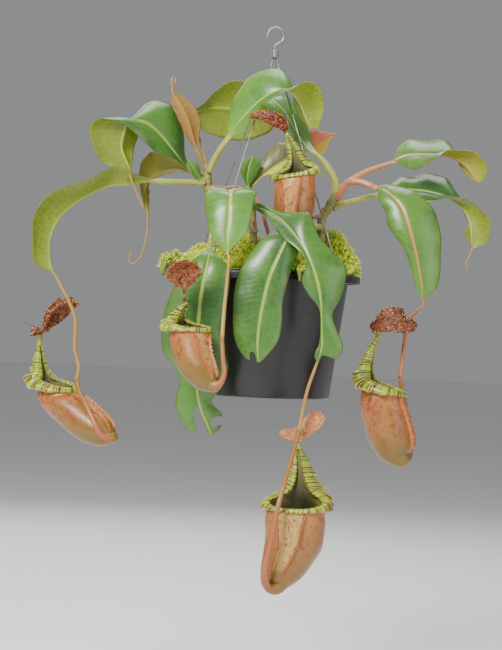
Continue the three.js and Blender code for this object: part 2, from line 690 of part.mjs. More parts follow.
// heading: degrees from +X to the side where the wings and the tendril are.
// cup: centre of each ring from the mouth down, half width front to back, half width across.
// neck: height of the lip's neck over the mouth, its lean to the front and to the side, and how
// steeply the mouth climbs from one side to the other.
// lidRows: [x, y, z, half width, arch] along the lid; lidSide is the way across it.
const PITCHERS = {
  left: {
    heading: -35,
    cup: [
      [-259, -62, -479, 26, 24], [-254, -64, -488, 29, 26], [-247, -69, -495, 30, 28],
      [-227, -82, -511, 27.5, 27], [-209, -95, -524, 24, 24], [-193, -106, -532, 17.5, 18],
      [-182, -112, -535, 8, 8],
    ],
    neck: { height: 56, forward: -7, aside: 0 },
    tendril: [
      [-233, -76, -466, 2.8], [-227, -95, -481, 3], [-215, -112, -499, 3.2], [-203, -122, -520, 3.6],
      [-195, -120, -532, 4.4], [-191, -110, -535, 5.5],
    ],
    lidSide: [0.57, 0.82, 0],
    lidStalk: [[-286, -43, -427, 2.6], [-283, -42, -405, 2]],
    lidRows: [
      [-295, -38, -411, 2, 1], [-289, -40, -408, 6, 3], [-281, -42, -405, 4, 1], [-274, -42, -395, 10, 9],
      [-265, -40, -385, 16, 15], [-255, -38, -376, 17, 15], [-245, -36, -370, 13, 9],
      [-237, -35, -370, 5, 2],
    ],
    lidThickness: LID_THICKNESS,
  },
  front_left: {
    heading: -45,
    cup: [
      [-91, -168, -395, 24.5, 25], [-89, -170, -408, 25, 25], [-84, -175, -427, 24.5, 24.5],
      [-75, -183, -445, 21.5, 21], [-66, -190, -457, 16, 16], [-57, -197, -462, 9, 9],
    ],
    neck: { height: 31, forward: 15, aside: 0 },
    tendril: [
      [-50, -168, -406, 2.8], [-47, -182, -433, 3], [-45, -194, -447, 3.4], [-49, -200, -458, 4],
      [-57, -198, -462, 5],
    ],
    lidSide: [0.96, 0.28, 0],
    lidStalk: [[-98, -160, -368, 2.4], [-99, -161, -341, 1.7]],
    lidRows: [
      [-99, -160, -345, 3, 0], [-99, -163, -338, 12, 3], [-100, -167, -330, 20, 5],
      [-101, -171, -322, 20, 5],
      [-101, -174, -316, 15, 3], [-101, -176, -311, 6, 0],
    ],
    lidThickness: LID_THICKNESS,
  },
  bottom: {
    heading: -105,
    cup: [
      [51, -172, -609, 31, 37], [50, -172, -629, 32, 37.5], [49, -173, -653, 31, 36],
      [42, -176, -674, 28, 31], [35, -181, -691, 22, 25], [29, -188, -703, 12, 13],
    ],
    neck: { height: 77, forward: 6, aside: -8 },
    tendril: [
      [50, -156, -515, 2.5], [43, -180, -543, 2.7], [35, -204, -572, 2.9], [27, -218, -605, 3.1],
      [22, -220, -638, 3.4], [16, -217, -671, 4], [15, -209, -691, 5], [20, -199, -703, 5.6],
      [27, -190, -704, 5.6],
    ],
    lidSide: [0.25, 0.35, 0.9],
    lidStalk: [[49, -147, -537, 2.6], [48, -147, -519, 1.6]],
    lidRows: [
      [26, -152, -517, 1.5, 0], [36, -149, -519, 7, 1], [48, -146, -519, 9, 2], [58, -141, -512, 10, 1],
      [67, -137, -503, 11, -1], [74, -133, -497, 9, 1], [79, -131, -493, 5, 0],
    ],
    lidThickness: 1.4,
  },
  right: {
    heading: -15,
    cup: [
      [155, -66, -464, 27, 25], [156, -66, -476, 28.5, 26], [163, -67, -502, 30, 27],
      [170, -68, -524, 28.5, 25], [177, -69, -539, 23, 20], [184, -70, -547, 15, 13],
    ],
    neck: { height: 71, forward: 17, aside: 0 },
    tendril: [
      [179, -42, -445, 2.9], [183, -34, -467, 3], [188, -32, -492, 3.1], [193, -36, -521, 3.6],
      [195, -48, -540, 4.6], [188, -63, -547, 5.6],
    ],
    lidSide: [0.26, 0.97, 0],
    lidStalk: [[146, -63, -396, 2.6], [148, -63, -370, 2]],
    lidRows: [
      [137, -62, -379, 3, 6], [143, -63, -385, 12, 20], [155, -65, -385, 19, 27], [168, -68, -385, 21, 29],
      [180, -71, -385, 18, 26], [189, -73, -381, 10, 19], [194, -74, -374, 3, 7],
    ],
    lidThickness: LID_THICKNESS,
  },
  top: {
    heading: -105,
    cup: [
      [33, -78, -196, 24, 26], [33, -78, -213, 25.5, 26.5], [33, -78, -231, 25, 26],
      [32, -79, -248, 22, 23], [30, -81, -263, 16, 17], [28, -85, -272, 8.5, 9],
    ],
    neck: { height: 54, forward: 12, aside: -16, slope: 0.2 },
    tendril: [
      [-25, -9, -219, 2], [-20, -20, -221, 2], [-16, -30, -225, 2], [-7, -46, -241, 2.2],
      [-1, -62, -261, 2.4],
      [5, -76, -275, 2.8], [17, -86, -280, 3.6], [27, -87, -274, 4.6],
    ],
    lidSide: [0.2, 0.85, 0.45],
    lidStalk: [[21, -62, -146, 2.6], [17, -61, -133, 2]],
    lidRows: [
      [20, -60, -135, 4, 1], [13, -62, -129, 12, 6], [2, -65, -124, 15, 8], [-9, -70, -121, 12, 6],
      [-19, -75, -121, 6, 2], [-28, -80, -122, 2, 0],
    ],
    lidThickness: LID_THICKNESS,
  },
};

// Half of the mouth from its front to the top of the neck: across, to the front, up
// (shares of the half widths and of the neck's height), then how far the lip reaches out
// and inside it over the mouth, in millimetres at the largest pitcher, and which way it
// reaches out: across, front, up.
const MOUTH_HALF = [
  { at: [0, 1, 0], reach: 8, inside: 3.2, out: [0, 1, -0.3] },
  { at: [0.5, 0.87, 0.01], reach: 9, inside: 3.2, out: [0.5, 0.87, -0.3] },
  { at: [0.87, 0.5, 0.045], reach: 12, inside: 3.6, out: [0.87, 0.5, -0.3] },
  { at: [1, 0, 0.1], reach: 16, inside: 4.5, out: [1, -0.05, -0.35] },
  { at: [0.78, -0.6, 0.17], reach: 20, inside: 6, out: [0.8, -0.55, -0.25] },
  { at: [0.46, -0.85, 0.27], reach: 23, inside: 7.5, out: [0.62, -0.78, -0.05] },
  { at: [0.28, -0.95, 0.43], reach: 17, inside: 6, out: [0.6, -0.8, 0] },
  { at: [0.16, -1, 0.66], reach: 11, inside: 4, out: [0.62, -0.78, 0.1] },
  { at: [0.09, -1, 0.88], reach: 6, inside: 2, out: [0.55, -0.8, 0.3] },
  { at: [0, -1, 1], reach: 3.5, inside: 1.8, out: [0, -0.7, 0.7] },
];
const APEX = MOUTH_HALF.length - 1;
const MOUTH_POINTS = 2 * APEX;
const WING_ROW = 1;
const FLARE = [0.92, 0.7]; // the tendril's radius in the cup's last two rings, as shares of theirs
const LIP_CLEAR = 0.45; // under the lip, over the cup's edge
const LIP_CROWN = 1.6; // the crown's height, and what it gains with its reach
const LIP_CROWN_SHARE = 0.2;
const LIP_TURN = 0.2; // the rolled margin: how far its turn and its edge hang, as shares of reach
const LIP_HANG = 0.55;
const NECK_FROM = 4; // the lip stands before the wall from a quarter of the neck's height up

function axesOf(pitcher) {
  const turn = THREE.MathUtils.degToRad(pitcher.heading);
  return {
    front: new THREE.Vector3(Math.cos(turn), Math.sin(turn), 0),
    across: new THREE.Vector3(-Math.sin(turn), Math.cos(turn), 0),
    up: new THREE.Vector3(0, 0, 1),
  };
}

// Goes round the mouth: front, one side, the neck's top, the other side.
function roundMouth(visit) {
  const out = [];
  for (let j = 0; j < MOUTH_POINTS; j++) {
    const row = j <= APEX ? j : MOUTH_POINTS - j;
    out.push(visit(row, j <= APEX ? 1 : -1));
  }
  return out;
}

function mouthCurve(pitcher) {
  const { front, across, up } = axesOf(pitcher);
  const [x, y, z, frontHalf, acrossHalf] = pitcher.cup[0];
  const { height, forward, aside, slope = 0 } = pitcher.neck;
  return roundMouth((row, hand) => {
    const [s, f, rise] = MOUTH_HALF[row].at;
    const bend = rise ** 1.5;
    return new THREE.Vector3(x, y, z)
      .addScaledVector(across, hand * s * acrossHalf + aside * bend)
      .addScaledVector(front, f * frontHalf + forward * bend)
      .addScaledVector(up, rise * height + slope * hand * s * acrossHalf);
  });
}

function cupSolid(pitcher, grow = 0) {
  const { front, across, up } = axesOf(pitcher);
  const rows = pitcher.cup;
  const centres = rows.map(vec);
  const along = tangents(centres);
  const { height, forward, aside } = pitcher.neck;

  const mouth = mouthCurve(pitcher);
  const mouthCentres = roundMouth((row) => {
    const rise = MOUTH_HALF[row].at[2];
    const bend = rise ** 1.5;
    return centres[0]
      .clone()
      .addScaledVector(across, aside * bend)
      .addScaledVector(front, forward * bend)
      .addScaledVector(up, rise * height);
  });

  const ringAt = (i) => {
    const normal = up.clone().lerp(along[i].clone().negate(), i / (rows.length - 1)).normalize();
    const ahead = across.clone().cross(normal).normalize();
    const blend = Math.min(i / 2, 1);
    return roundMouth((row, hand) => {
      const [s, f] = MOUTH_HALF[row].at;
      const turn = THREE.MathUtils.lerp(Math.atan2(s, f), (Math.PI * row) / APEX, blend);
      const wing = row === WING_ROW && i > 0 && i < rows.length - 1 ? WING_HEIGHT : 0;
      return centres[i]
        .clone()
        .addScaledVector(ahead, (rows[i][3] + wing) * Math.cos(turn))
        .addScaledVector(across, hand * (rows[i][4] + wing) * Math.sin(turn));
    });
  };
  const moved = (ring, middles, distance) =>
    ring.map((p, j) => {
      const middle = middles[j] ?? middles[0];
      return p.clone().addScaledVector(middle.clone().sub(p).normalize(), distance);
    });
  const between = (a, b, t) => a.map((p, j) => p.clone().lerp(b[j], t));

  const outer = rows.slice(1).map((_, i) => moved(ringAt(i + 1), [centres[i + 1]], -grow));
  const hollow = rows.length - 3;
  const inner = rows
    .slice(1, hollow + 1)
    .map((_, i) => moved(ringAt(i + 1), [centres[i + 1]], CUP_WALL + grow));
  const raise = (ring) => ring.map((p) => p.clone().addScaledVector(up, grow));
  const outerMouth = raise(moved(mouth, mouthCentres, -grow));
  const innerMouth = raise(moved(mouth, mouthCentres, CUP_WALL + grow));
  const rings = [
    ...[...outer].reverse(),
    between(outer[0], outerMouth, CUP_TUCK),
    outerMouth,
    innerMouth,
    between(inner[0], innerMouth, CUP_TUCK),
    ...inner,
  ];
  return toManifold(loft(rings));
}

// The tendril flares into the foot of the cup.
function pitcherCup(pitcher, grow = 0) {
  const foot = pitcher.cup.slice(-2).reverse();
  const flare = foot.map(([x, y, z, front, across], i) => [x, y, z, FLARE[i] * Math.min(front, across)]);
  const vine = [...pitcher.tendril.slice(0, -1), ...flare];
  return cupSolid(pitcher, grow).add(toManifold(stalk(vine, 7, grow)));
}

function pitcherLip(pitcher, cuts) {
  const { front, across, up } = axesOf(pitcher);
  // On the neck the lip stands in front of the wall, lower down it lies on the wall's edge.
  const onNeck = roundMouth((row) => Math.min(1, NECK_FROM * MOUTH_HALF[row].at[2]));
  const curve = mouthCurve(pitcher).map((p, j) =>
    p.addScaledVector(front, onNeck[j] * (CUP_WALL + LIP_CLEAR)),
  );
  const scale = pitcher.cup[0][4] / LARGEST_MOUTH;
  const outward = roundMouth((row, hand) => {
    const [s, f, rise] = MOUTH_HALF[row].out;
    return new THREE.Vector3()
      .addScaledVector(across, hand * s)
      .addScaledVector(front, f)
      .addScaledVector(up, rise)
      .normalize();
  });
  const reaches = roundMouth((row) => MOUTH_HALF[row].reach * scale);
  const insides = roundMouth((row) => MOUTH_HALF[row].inside * scale);
  const rings = curve.map((p, j) => {
    const before = curve[(j + MOUTH_POINTS - 1) % MOUTH_POINTS];
    const after = curve[(j + 1) % MOUTH_POINTS];
    const along = after.clone().sub(before).normalize();
    const over = outward[j].clone().cross(along).normalize();
    const reach = reaches[j];
    const crown = LIP_CROWN + LIP_CROWN_SHARE * reach;
    const section = [
      [-insides[j], LIP_CLEAR],
      [-0.5 * insides[j], 0.9 * crown],
      [0.35 * reach, crown],
      [reach, -LIP_TURN * reach],
      [0.8 * reach, -LIP_HANG * reach],
      [LIP_CLEAR + 0.2, LIP_CLEAR],
    ];
    return section.map(([u, v]) => p.clone().addScaledVector(outward[j], u).addScaledVector(over, v));
  });
  const lip = toManifold(loft(rings, () => false, true));
  const stub = toManifold(stalk(pitcher.lidStalk, 8));
  const room = [pitcherCup(pitcher, SEAT_GAP), pitcherCup(pitcher), ...cuts];
  return cutFree(lip.add(stub), room);
}

const LID_ACROSS = [-1, -0.6, 0, 0.6, 1];
const LID_LUMPS = 0.45; // as a share of its thickness

function pitcherLid(pitcher, random, cuts) {
  const rows = pitcher.lidRows;
  const line = rows.map(vec);
  const along = tangents(line);
  const middle = Math.floor(rows.length / 2);
  const lumps = pitcher.lidThickness * LID_LUMPS;
  let across = vec(pitcher.lidSide);
  if (across.clone().cross(along[middle]).z < 0) across = across.negate();
  const rings = rows.map((row, i) => {
    const side = square(across, along[i]);
    const over = side.clone().cross(along[i]).normalize();
    const top = LID_ACROSS.map((v) => {
      const lump = (random() - 0.5) * 2 * lumps;
      return line[i]
        .clone()
        .addScaledVector(side, v * row[3])
        .addScaledVector(over, row[4] * (1 - v * v) + lump);
    });
    const bottom = top.map((p) => p.clone().addScaledVector(over, -pitcher.lidThickness));
    return [...top, ...bottom.reverse()];
  });
  const lid = toManifold(loft(rings, (k) => k >= LID_ACROSS.length));
  return cutFree(lid, [toManifold(stalk(pitcher.lidStalk, 8, SEAT_GAP)), ...cuts]);
}

// ---------------------------------------------------------------- pot, mix and hanger

// A solid turned about Z through [radius, z] from the middle of its base round to the middle
// of its top, closed by a flat at each end.
function turned(profile, sides = POT_SIDES) {
  const rings = profile.map(([radius, z]) => {
    const ring = [];
    for (let k = 0; k < sides; k++) {
      const turn = (2 * Math.PI * k) / sides;
      ring.push(new THREE.Vector3(radius * Math.cos(turn), radius * Math.sin(turn), z));
    }
    return ring;
  });
  return toManifold(loft(rings));
}

function drilled(solid, radius, circle, angles, bottom, top) {
  let out = solid;
  angles.forEach((angle) => {
    const turn = THREE.MathUtils.degToRad(angle);
    const drill = turned([[radius, bottom], [radius, top]], 8);
    out = out.subtract(drill.translate([circle * Math.cos(turn), circle * Math.sin(turn), 0]));
  });
  return out;
}

function innerRadius(z) {
  const rise = (z - (RIM_Z - POT_HEIGHT)) / POT_HEIGHT;
  return POT_BASE_RADIUS + (POT_TOP_RADIUS - POT_BASE_RADIUS) * rise - POT_WALL;
}

function potSolid(grow = 0) {
  const base = RIM_Z - POT_HEIGHT;
  const underFlange = RIM_Z - FLANGE_THICKNESS;
  const bandInside = RIM_RADIUS - FLANGE_THICKNESS;
  return turned([
    [POT_BASE_RADIUS + grow, base - grow],
    [POT_TOP_RADIUS + grow, underFlange - grow],
    [bandInside - grow, underFlange - grow],
    [bandInside - grow, RIM_Z - RIM_BAND - grow],
    [RIM_RADIUS + grow, RIM_Z - RIM_BAND - grow],
    [RIM_RADIUS + grow, RIM_Z + grow],
    [innerRadius(RIM_Z) - grow, RIM_Z + grow],
    [innerRadius(base + POT_FLOOR) - grow, base + POT_FLOOR + grow],
  ]);
}

function pot() {
  const base = RIM_Z - POT_HEIGHT;
  const inside = base + POT_FLOOR + 1;
  const drained = drilled(potSolid(), DRAIN_RADIUS, DRAIN_CIRCLE, DRAIN_ANGLES, base - 1, inside);
  const flange = RIM_Z - FLANGE_THICKNESS;
  return drilled(drained, WIRE_HOLE_RADIUS, WIRE_CIRCLE, WIRE_ANGLES, flange - 1, RIM_Z + 1);
}

function growingMix() {
  const bottom = RIM_Z - POT_HEIGHT + POT_FLOOR + SEAT_GAP;
  const top = RIM_Z - MIX_DROP;
  const mix = turned([
    [innerRadius(bottom) - SEAT_GAP, bottom],
    [innerRadius(top) - SEAT_GAP, top],
  ]);
  return Object.keys(STEMS).reduce((solid, name) => solid.subtract(stemSolid(name, SEAT_GAP)), mix);
}

const WIRE_FOOT = 5.5; // how far the bent foot reaches inward

function hangerWire(angle, grow = 0) {
  const turn = THREE.MathUtils.degToRad(angle);
  // Straight down to the flange's hole, through it, and bent inward under it.
  const under = RIM_Z - FLANGE_THICKNESS;
  const rows = [
    [WIRE_SPREAD, COLLAR_BOTTOM - SEAT_GAP],
    [WIRE_CIRCLE - 0.6, RIM_Z + 2.6],
    [WIRE_CIRCLE, RIM_Z + 0.6],
    [WIRE_CIRCLE, under - 0.2],
    [WIRE_CIRCLE - 0.5, under - 1],
    [WIRE_CIRCLE - 1.6, under - SEAT_GAP - WIRE_RADIUS],
    [WIRE_CIRCLE - WIRE_FOOT, under - SEAT_GAP - WIRE_RADIUS],
  ];
  const path = rows.map(([reach, z]) => [reach * Math.cos(turn), reach * Math.sin(turn), z, WIRE_RADIUS]);
  return stalk(path, 6, grow);
}

// A bent wire hook that gathers the four wires in one collar.
function hangerHook() {
  const bend = [
    [0, 0, COLLAR_TOP - 1], [0, 0, -22], [4, 0, -19], [8.5, 0, -15.5], [10.5, 0, -9], [7.4, 0, -1.6],
    [0, 0, 1.5], [-7.4, 0, -1.6], [-10.5, 0, -9], [-9, 0, -14.5],
  ];
  const wire = toManifold(stalk(bend.map((p) => [...p, HOOK_WIRE_RADIUS]), 8));
  const collar = turned([
    [COLLAR_RADIUS - 1, COLLAR_BOTTOM], [COLLAR_RADIUS, COLLAR_BOTTOM + 1],
    [COLLAR_RADIUS, COLLAR_TOP - 1], [COLLAR_RADIUS - 1, COLLAR_TOP],
  ], 12);
  return collar.add(wire);
}

// ---------------------------------------------------------------- moss

const MOSS_PLUG_RADIUS = 105.5;
const MOSS_EDGE_RADIUS = 117;
const MOSS_SIDES = 40;
const MOSS_HEIGHT = 17; // over the rim in the middle
const MOSS_FALL = 12; // from the middle to the edge
const MOSS_UNEVEN = 4;
const MOSS_STEPS = [0.12, 0.25, 0.38, 0.52, 0.66, 0.79, 0.9, 1];
const SPRIG_SHARE = 0.5; // share of the mound's facets that carry a sprig
const SPRIG_LEAST = 3; // height, and how much more it may be
const SPRIG_MORE = 6;
const SPRIG_SLENDER = 1.4; // height over the facet's shortest side, at most
// [x, y, height, spread]
const MOSS_SWELLS = [
  [-80, 72, 28, 26], [-25, 10, 31, 30], [84, 12, 48, 24],
  [-96, -30, 10, 22], [30, -92, 8, 22], [40, 80, 16, 26],
];
// What hangs over the rim: rows of [x, y, z, radius].
const MOSS_TONGUES = [
  [
    [-104, -28, -312, 9], [-119, -33, -307, 9.5], [-128, -36, -312, 8],
    [-131, -37, -320, 5.5], [-131, -38, -328, 2],
  ],
  [[-110, -10, -312, 7], [-123, -14, -309, 7], [-129, -16, -315, 5], [-130, -17, -322, 2]],
  [
    [38, -104, -312, 7], [41, -117, -309, 7], [42, -125, -314, 5.5],
    [43, -127, -322, 3.6], [43, -127, -329, 1.5],
  ],
];

function mossTop(x, y, random) {
  const reach = Math.hypot(x, y) / MOSS_EDGE_RADIUS;
  let z = RIM_Z + MOSS_HEIGHT - MOSS_FALL * reach ** 2;
  MOSS_SWELLS.forEach(([sx, sy, height, spread]) => {
    z += height * Math.exp(-((x - sx) ** 2 + (y - sy) ** 2) / (2 * spread * spread));
  });
  return z + (random() - 0.5) * MOSS_UNEVEN * (1 - 0.6 * reach);
}

// Draws sprigs out of the upward facets: each becomes a leaning three-sided point.
function withSprigs(geometry, random) {
  const at = geometry.attributes.position;
  const index = geometry.index.array;
  const points = [];
  for (let i = 0; i < at.count; i++) points.push(new THREE.Vector3().fromBufferAttribute(at, i));
  const triangles = [];
  for (let i = 0; i < index.length; i += 3) {
    const [a, b, c] = [index[i], index[i + 1], index[i + 2]];
    const ab = points[b].clone().sub(points[a]);
    const ac = points[c].clone().sub(points[a]);
    const normal = ab.clone().cross(ac).normalize();
    const size = Math.min(ab.length(), ac.length(), points[b].distanceTo(points[c]));
    if (normal.z < 0.3 || random() > SPRIG_SHARE) {
      triangles.push([a, b, c]);
      continue;
    }
    const tip = points[a].clone().add(points[b]).add(points[c]).divideScalar(3);
    const height = Math.min(SPRIG_LEAST + SPRIG_MORE * random(), size * SPRIG_SLENDER);
    tip.addScaledVector(normal, height);
    tip.x += (random() - 0.5) * size * 0.5;
    tip.y += (random() - 0.5) * size * 0.5;
    const apex = points.push(tip) - 1;
    triangles.push([a, b, apex], [b, c, apex], [c, a, apex]);
  }
  return meshGeometry(points, triangles);
}

function moss() {
  const random = seededRandom(SEED);
  const ringAt = (radius, heightOf, shift = 0) => {
    const ring = [];
    for (let k = 0; k < MOSS_SIDES; k++) {
      const turn = (2 * Math.PI * (k + shift)) / MOSS_SIDES;
      const x = radius * Math.cos(turn);
      const y = radius * Math.sin(turn);
      ring.push(new THREE.Vector3(x, y, heightOf(x, y)));
    }
    return ring;
  };
  const onFlange = RIM_Z + 2 * SEAT_GAP;
  const top = MOSS_STEPS.map((share, i) =>
    ringAt(share * MOSS_EDGE_RADIUS, (x, y) => mossTop(x, y, random), (MOSS_STEPS.length - i) / 2),
  );
  const rings = [
    ringAt(MOSS_PLUG_RADIUS, () => RIM_Z - MIX_DROP + SEAT_GAP),
    ringAt(MOSS_PLUG_RADIUS, () => onFlange),
    ringAt(MOSS_EDGE_RADIUS + 1, () => onFlange),
    ...top.reverse(),
  ];
  const tongues = MOSS_TONGUES.map((rows) => toManifold(stalk(rows, 7)));
  const mound = toManifold(withSprigs(loft(rings), random));
  const cuts = [
    potSolid(SEAT_GAP),
    ...Object.keys(STEMS).map((name) => stemSolid(name, SEAT_GAP)),
    ...WIRE_ANGLES.map((angle) => toManifold(hangerWire(angle, SEAT_GAP))),
  ];
  return cutFree(wasm.Manifold.union([mound, ...tongues]), cuts, SOFT_SLIVER);
}

// ---------------------------------------------------------------- the plant

add("pot", fromManifold(pot()), materials.pot);
add("growing_mix", fromManifold(growingMix()), materials.mix);
add("moss", fromManifold(moss()), materials.moss);
add("hanger_hook", fromManifold(hangerHook()), materials.wire);
WIRE_NAMES.forEach((name, i) => {
  add(`hanger_wire_${name}`, hangerWire(WIRE_ANGLES[i]), materials.wire);
});

const stemsGrown = Object.keys(STEMS).map((name) => stemSolid(name, SEAT_GAP));
Object.keys(STEMS).forEach((name) => {
  add(name, fromManifold(stemSolid(name)), materials.stem);
});

const OLDER_LEAVES = ["leaf_left_back", "leaf_left_young", "leaf_centre_back"];
const leavesGrown = [];
Object.entries(LEAVES).forEach(([name, rows]) => {
  const bites = (BITES[name] ?? []).map(bite);
  const leaf = cutFree(toManifold(leafGeometry(rows)), [...bites, ...stemsGrown, ...leavesGrown]);
  add(name, fromManifold(leaf), OLDER_LEAVES.includes(name) ? materials.oldLeaf : materials.leaf);
  leavesGrown.push(toManifold(leafGeometry(rows, SEAT_GAP)));
});

Object.entries(PITCHERS).forEach(([name, pitcher], i) => {
  const random = seededRandom(SEED + i);
  const cup = cutFree(pitcherCup(pitcher), [...stemsGrown, ...leavesGrown]);
  add(`pitcher_${name}_cup`, fromManifold(cup), materials.cup);
  add(`pitcher_${name}_lip`, fromManifold(pitcherLip(pitcher, leavesGrown)), materials.lip);
  add(`pitcher_${name}_lid`, fromManifold(pitcherLid(pitcher, random, leavesGrown)), materials.lid);
});

export default plant;
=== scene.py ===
import math

import bpy
import numpy as np
from mathutils import Matrix, Vector, noise


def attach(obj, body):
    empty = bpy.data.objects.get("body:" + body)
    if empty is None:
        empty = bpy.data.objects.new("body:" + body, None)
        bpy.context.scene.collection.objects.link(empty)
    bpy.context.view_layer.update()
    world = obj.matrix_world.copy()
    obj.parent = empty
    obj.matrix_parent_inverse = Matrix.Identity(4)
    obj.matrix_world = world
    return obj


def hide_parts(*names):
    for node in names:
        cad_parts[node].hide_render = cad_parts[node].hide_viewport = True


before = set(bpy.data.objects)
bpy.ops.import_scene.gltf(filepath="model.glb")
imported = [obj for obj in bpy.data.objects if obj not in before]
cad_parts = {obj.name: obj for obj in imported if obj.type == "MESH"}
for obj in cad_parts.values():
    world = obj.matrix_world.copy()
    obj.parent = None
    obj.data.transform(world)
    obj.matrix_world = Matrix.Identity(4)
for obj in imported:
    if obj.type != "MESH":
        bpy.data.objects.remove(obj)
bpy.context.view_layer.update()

# ---------------------------------------------------------------- camera, floor and light
# The camera looks along +Y from 3 m, level, turned 2.6 degrees as the photo is. The floor is
# a plain pale plane under the hanging plant, and four large soft lamps stand round it.

scene = bpy.context.scene

CAMERA_PLACE = (-0.0151, -3.0, -0.3862)
PICTURE_RIGHT = (0.99897, 0.0, 0.04533)
PICTURE_UP = (-0.04533, 0.0, 0.99897)
BACK_ALONG_VIEW = (0.0, -1.0, 0.0)
SENSOR_WIDTH = 36.0
CAMERA_LENS = 127.8
FLOOR_HALF = 14.0
FLOOR_PLACE = (0, 6.0, -0.86)
FLOOR_COLOUR = (0.9, 0.9, 0.89, 1)
LAMPS = {  # place, what it looks at, side in metres, watts, colour
    "key": ((-1.0, -1.9, 1.0), (0, 0, -0.35), 0.8, 100, (1.0, 0.98, 0.94)),
    "fill": ((1.7, -1.6, 0.1), (0, 0, -0.4), 1.6, 20, (0.96, 0.98, 1.0)),
    "top": ((0.1, 0.4, 1.5), (0, 0, -0.35), 1.2, 34, (1.0, 1.0, 1.0)),
    "back": ((-0.6, 2.2, 0.7), (0, 0, -0.4), 1.4, 22, (1.0, 1.0, 1.0)),
}
ROOM_COLOUR = (0.93, 0.94, 0.95, 1)
ROOM_LIGHT = 0.3

camera = bpy.data.objects.new("camera", bpy.data.cameras.new("camera"))
scene.collection.objects.link(camera)
columns = Matrix((PICTURE_RIGHT, PICTURE_UP, BACK_ALONG_VIEW)).transposed()
camera.matrix_world = Matrix.Translation(CAMERA_PLACE) @ columns.to_4x4()
camera.data.sensor_width = SENSOR_WIDTH
camera.data.lens = CAMERA_LENS
scene.camera = camera

floor_mesh = bpy.data.meshes.new("floor")
corners = [(x * FLOOR_HALF, y * FLOOR_HALF, 0) for x, y in ((-1, -1), (1, -1), (1, 1), (-1, 1))]
floor_mesh.from_pydata(corners, [], [(0, 1, 2, 3)])
floor = bpy.data.objects.new("floor", floor_mesh)
scene.collection.objects.link(floor)
floor.matrix_world = Matrix.Translation(FLOOR_PLACE)
floor_paint = bpy.data.materials.new("floor")
floor_paint.use_nodes = True
shader = floor_paint.node_tree.nodes["Principled BSDF"]
shader.inputs["Base Color"].default_value = FLOOR_COLOUR
shader.inputs["Roughness"].default_value = 0.9
floor_mesh.materials.append(floor_paint)

for name, (place, aim, size, power, colour) in LAMPS.items():
    lamp = bpy.data.lights.new(name, "AREA")
    lamp.size, lamp.energy, lamp.color = size, power, colour
    light = bpy.data.objects.new(name, lamp)
    scene.collection.objects.link(light)
    light.location = place
    light.rotation_euler = (Vector(aim) - Vector(place)).to_track_quat("-Z", "Y").to_euler()

room = bpy.data.worlds.new("room")
room.use_nodes = True
room.node_tree.nodes["Background"].inputs["Color"].default_value = ROOM_COLOUR
room.node_tree.nodes["Background"].inputs["Strength"].default_value = ROOM_LIGHT
scene.world = room

# ---------------------------------------------------------------- pot
# A grower's plain pot of black plastic, injection moulded: a tapered wall, a flat rim with
# its edge turned down, six drain holes, and a hole in the rim for each hanger wire.

MM = 0.001  # sizes below are in millimetres
RIM_Z = -318
RIM_RADIUS = 124
FLANGE = 3
RIM_BAND = 10
POT_BASE_Z = -478
POT_TOP_RADIUS = 109
POT_BASE_RADIUS = 90
POT_WALL = 2.2
POT_FLOOR = 3
POT_SIDES = 144
FOOT_WIDTH = 7
FOOT_HEIGHT = 1.2
DRAIN_RADIUS = 5
DRAIN_CIRCLE = 55
DRAIN_ANGLES = range(0, 360, 60)
WIRE_HOLE_RADIUS = 1.5
WIRE_CIRCLE = 117
WIRE_ANGLES = {"back_right": 53, "back_left": 143, "front_left": 233, "front_right": 323}
SHARP_ABOVE = 34  # degrees between faces that meet in an edge


class Sock:
    """A shader socket that is added, multiplied and compared like a number."""

    def __init__(self, tree, out):
        self.tree = tree
        self.out = out

    def node(self, kind, values, output=0, **settings):
        made = self.tree.nodes.new(kind)
        for key, value in settings.items():
            setattr(made, key, value)
        for key, value in values.items():
            if isinstance(value, Sock):
                self.tree.links.new(value.out, made.inputs[key])
            else:
                made.inputs[key].default_value = value
        return Sock(self.tree, made.outputs[output])

    def maths(self, operation, *values):
        return self.node("ShaderNodeMath", dict(enumerate((self, *values))), operation=operation)

    def __add__(self, other):
        return self.maths("ADD", other)

    def __sub__(self, other):
        return self.maths("SUBTRACT", other)

    def __mul__(self, other):
        return self.maths("MULTIPLY", other)

    def size(self):
        return self.maths("ABSOLUTE")

    def sine(self):
        return self.maths("SINE")

    def rise(self, low, high):
        """0 below low, 1 above high, smooth between; low may be the larger."""
        values = {0: self, 1: low, 2: high, 3: 0.0, 4: 1.0}
        return self.node("ShaderNodeMapRange", values, interpolation_type="SMOOTHSTEP")

    def blend(self, first, second):
        """first where this is 0, second where it is 1; colours are sockets or triples."""
        ends = [end if isinstance(end, Sock) else (*end, 1.0) for end in (first, second)]
        return self.node("ShaderNodeMix", {0: self, 6: ends[0], 7: ends[1]}, 2, data_type="RGBA")

    def fine(self, scale, detail=3.0, rough=0.55):
        """Noise of that scale over this vector."""
        values = {"Vector": self, "Scale": scale, "Detail": detail, "Roughness": rough}
        return self.node("ShaderNodeTexNoise", values)

    def stretched(self, x, y, z):
        return self.node("ShaderNodeMapping", {0: self, 3: (x, y, z)})


def new_material(name):
    """A material, its Principled shader, Object coordinates, and UV coordinates as u and v."""
    material = bpy.data.materials.new(name)
    material.use_nodes = True
    tree = material.node_tree
    shader = tree.nodes["Principled BSDF"]
    place = tree.nodes.new("ShaderNodeTexCoord")
    where = Sock(tree, place.outputs["Object"])
    unwrapped = Sock(tree, place.outputs["UV"])
    u = unwrapped.node("ShaderNodeSeparateXYZ", {0: unwrapped})
    v = Sock(tree, u.out.node.outputs[1])
    return material, shader, where, u, v


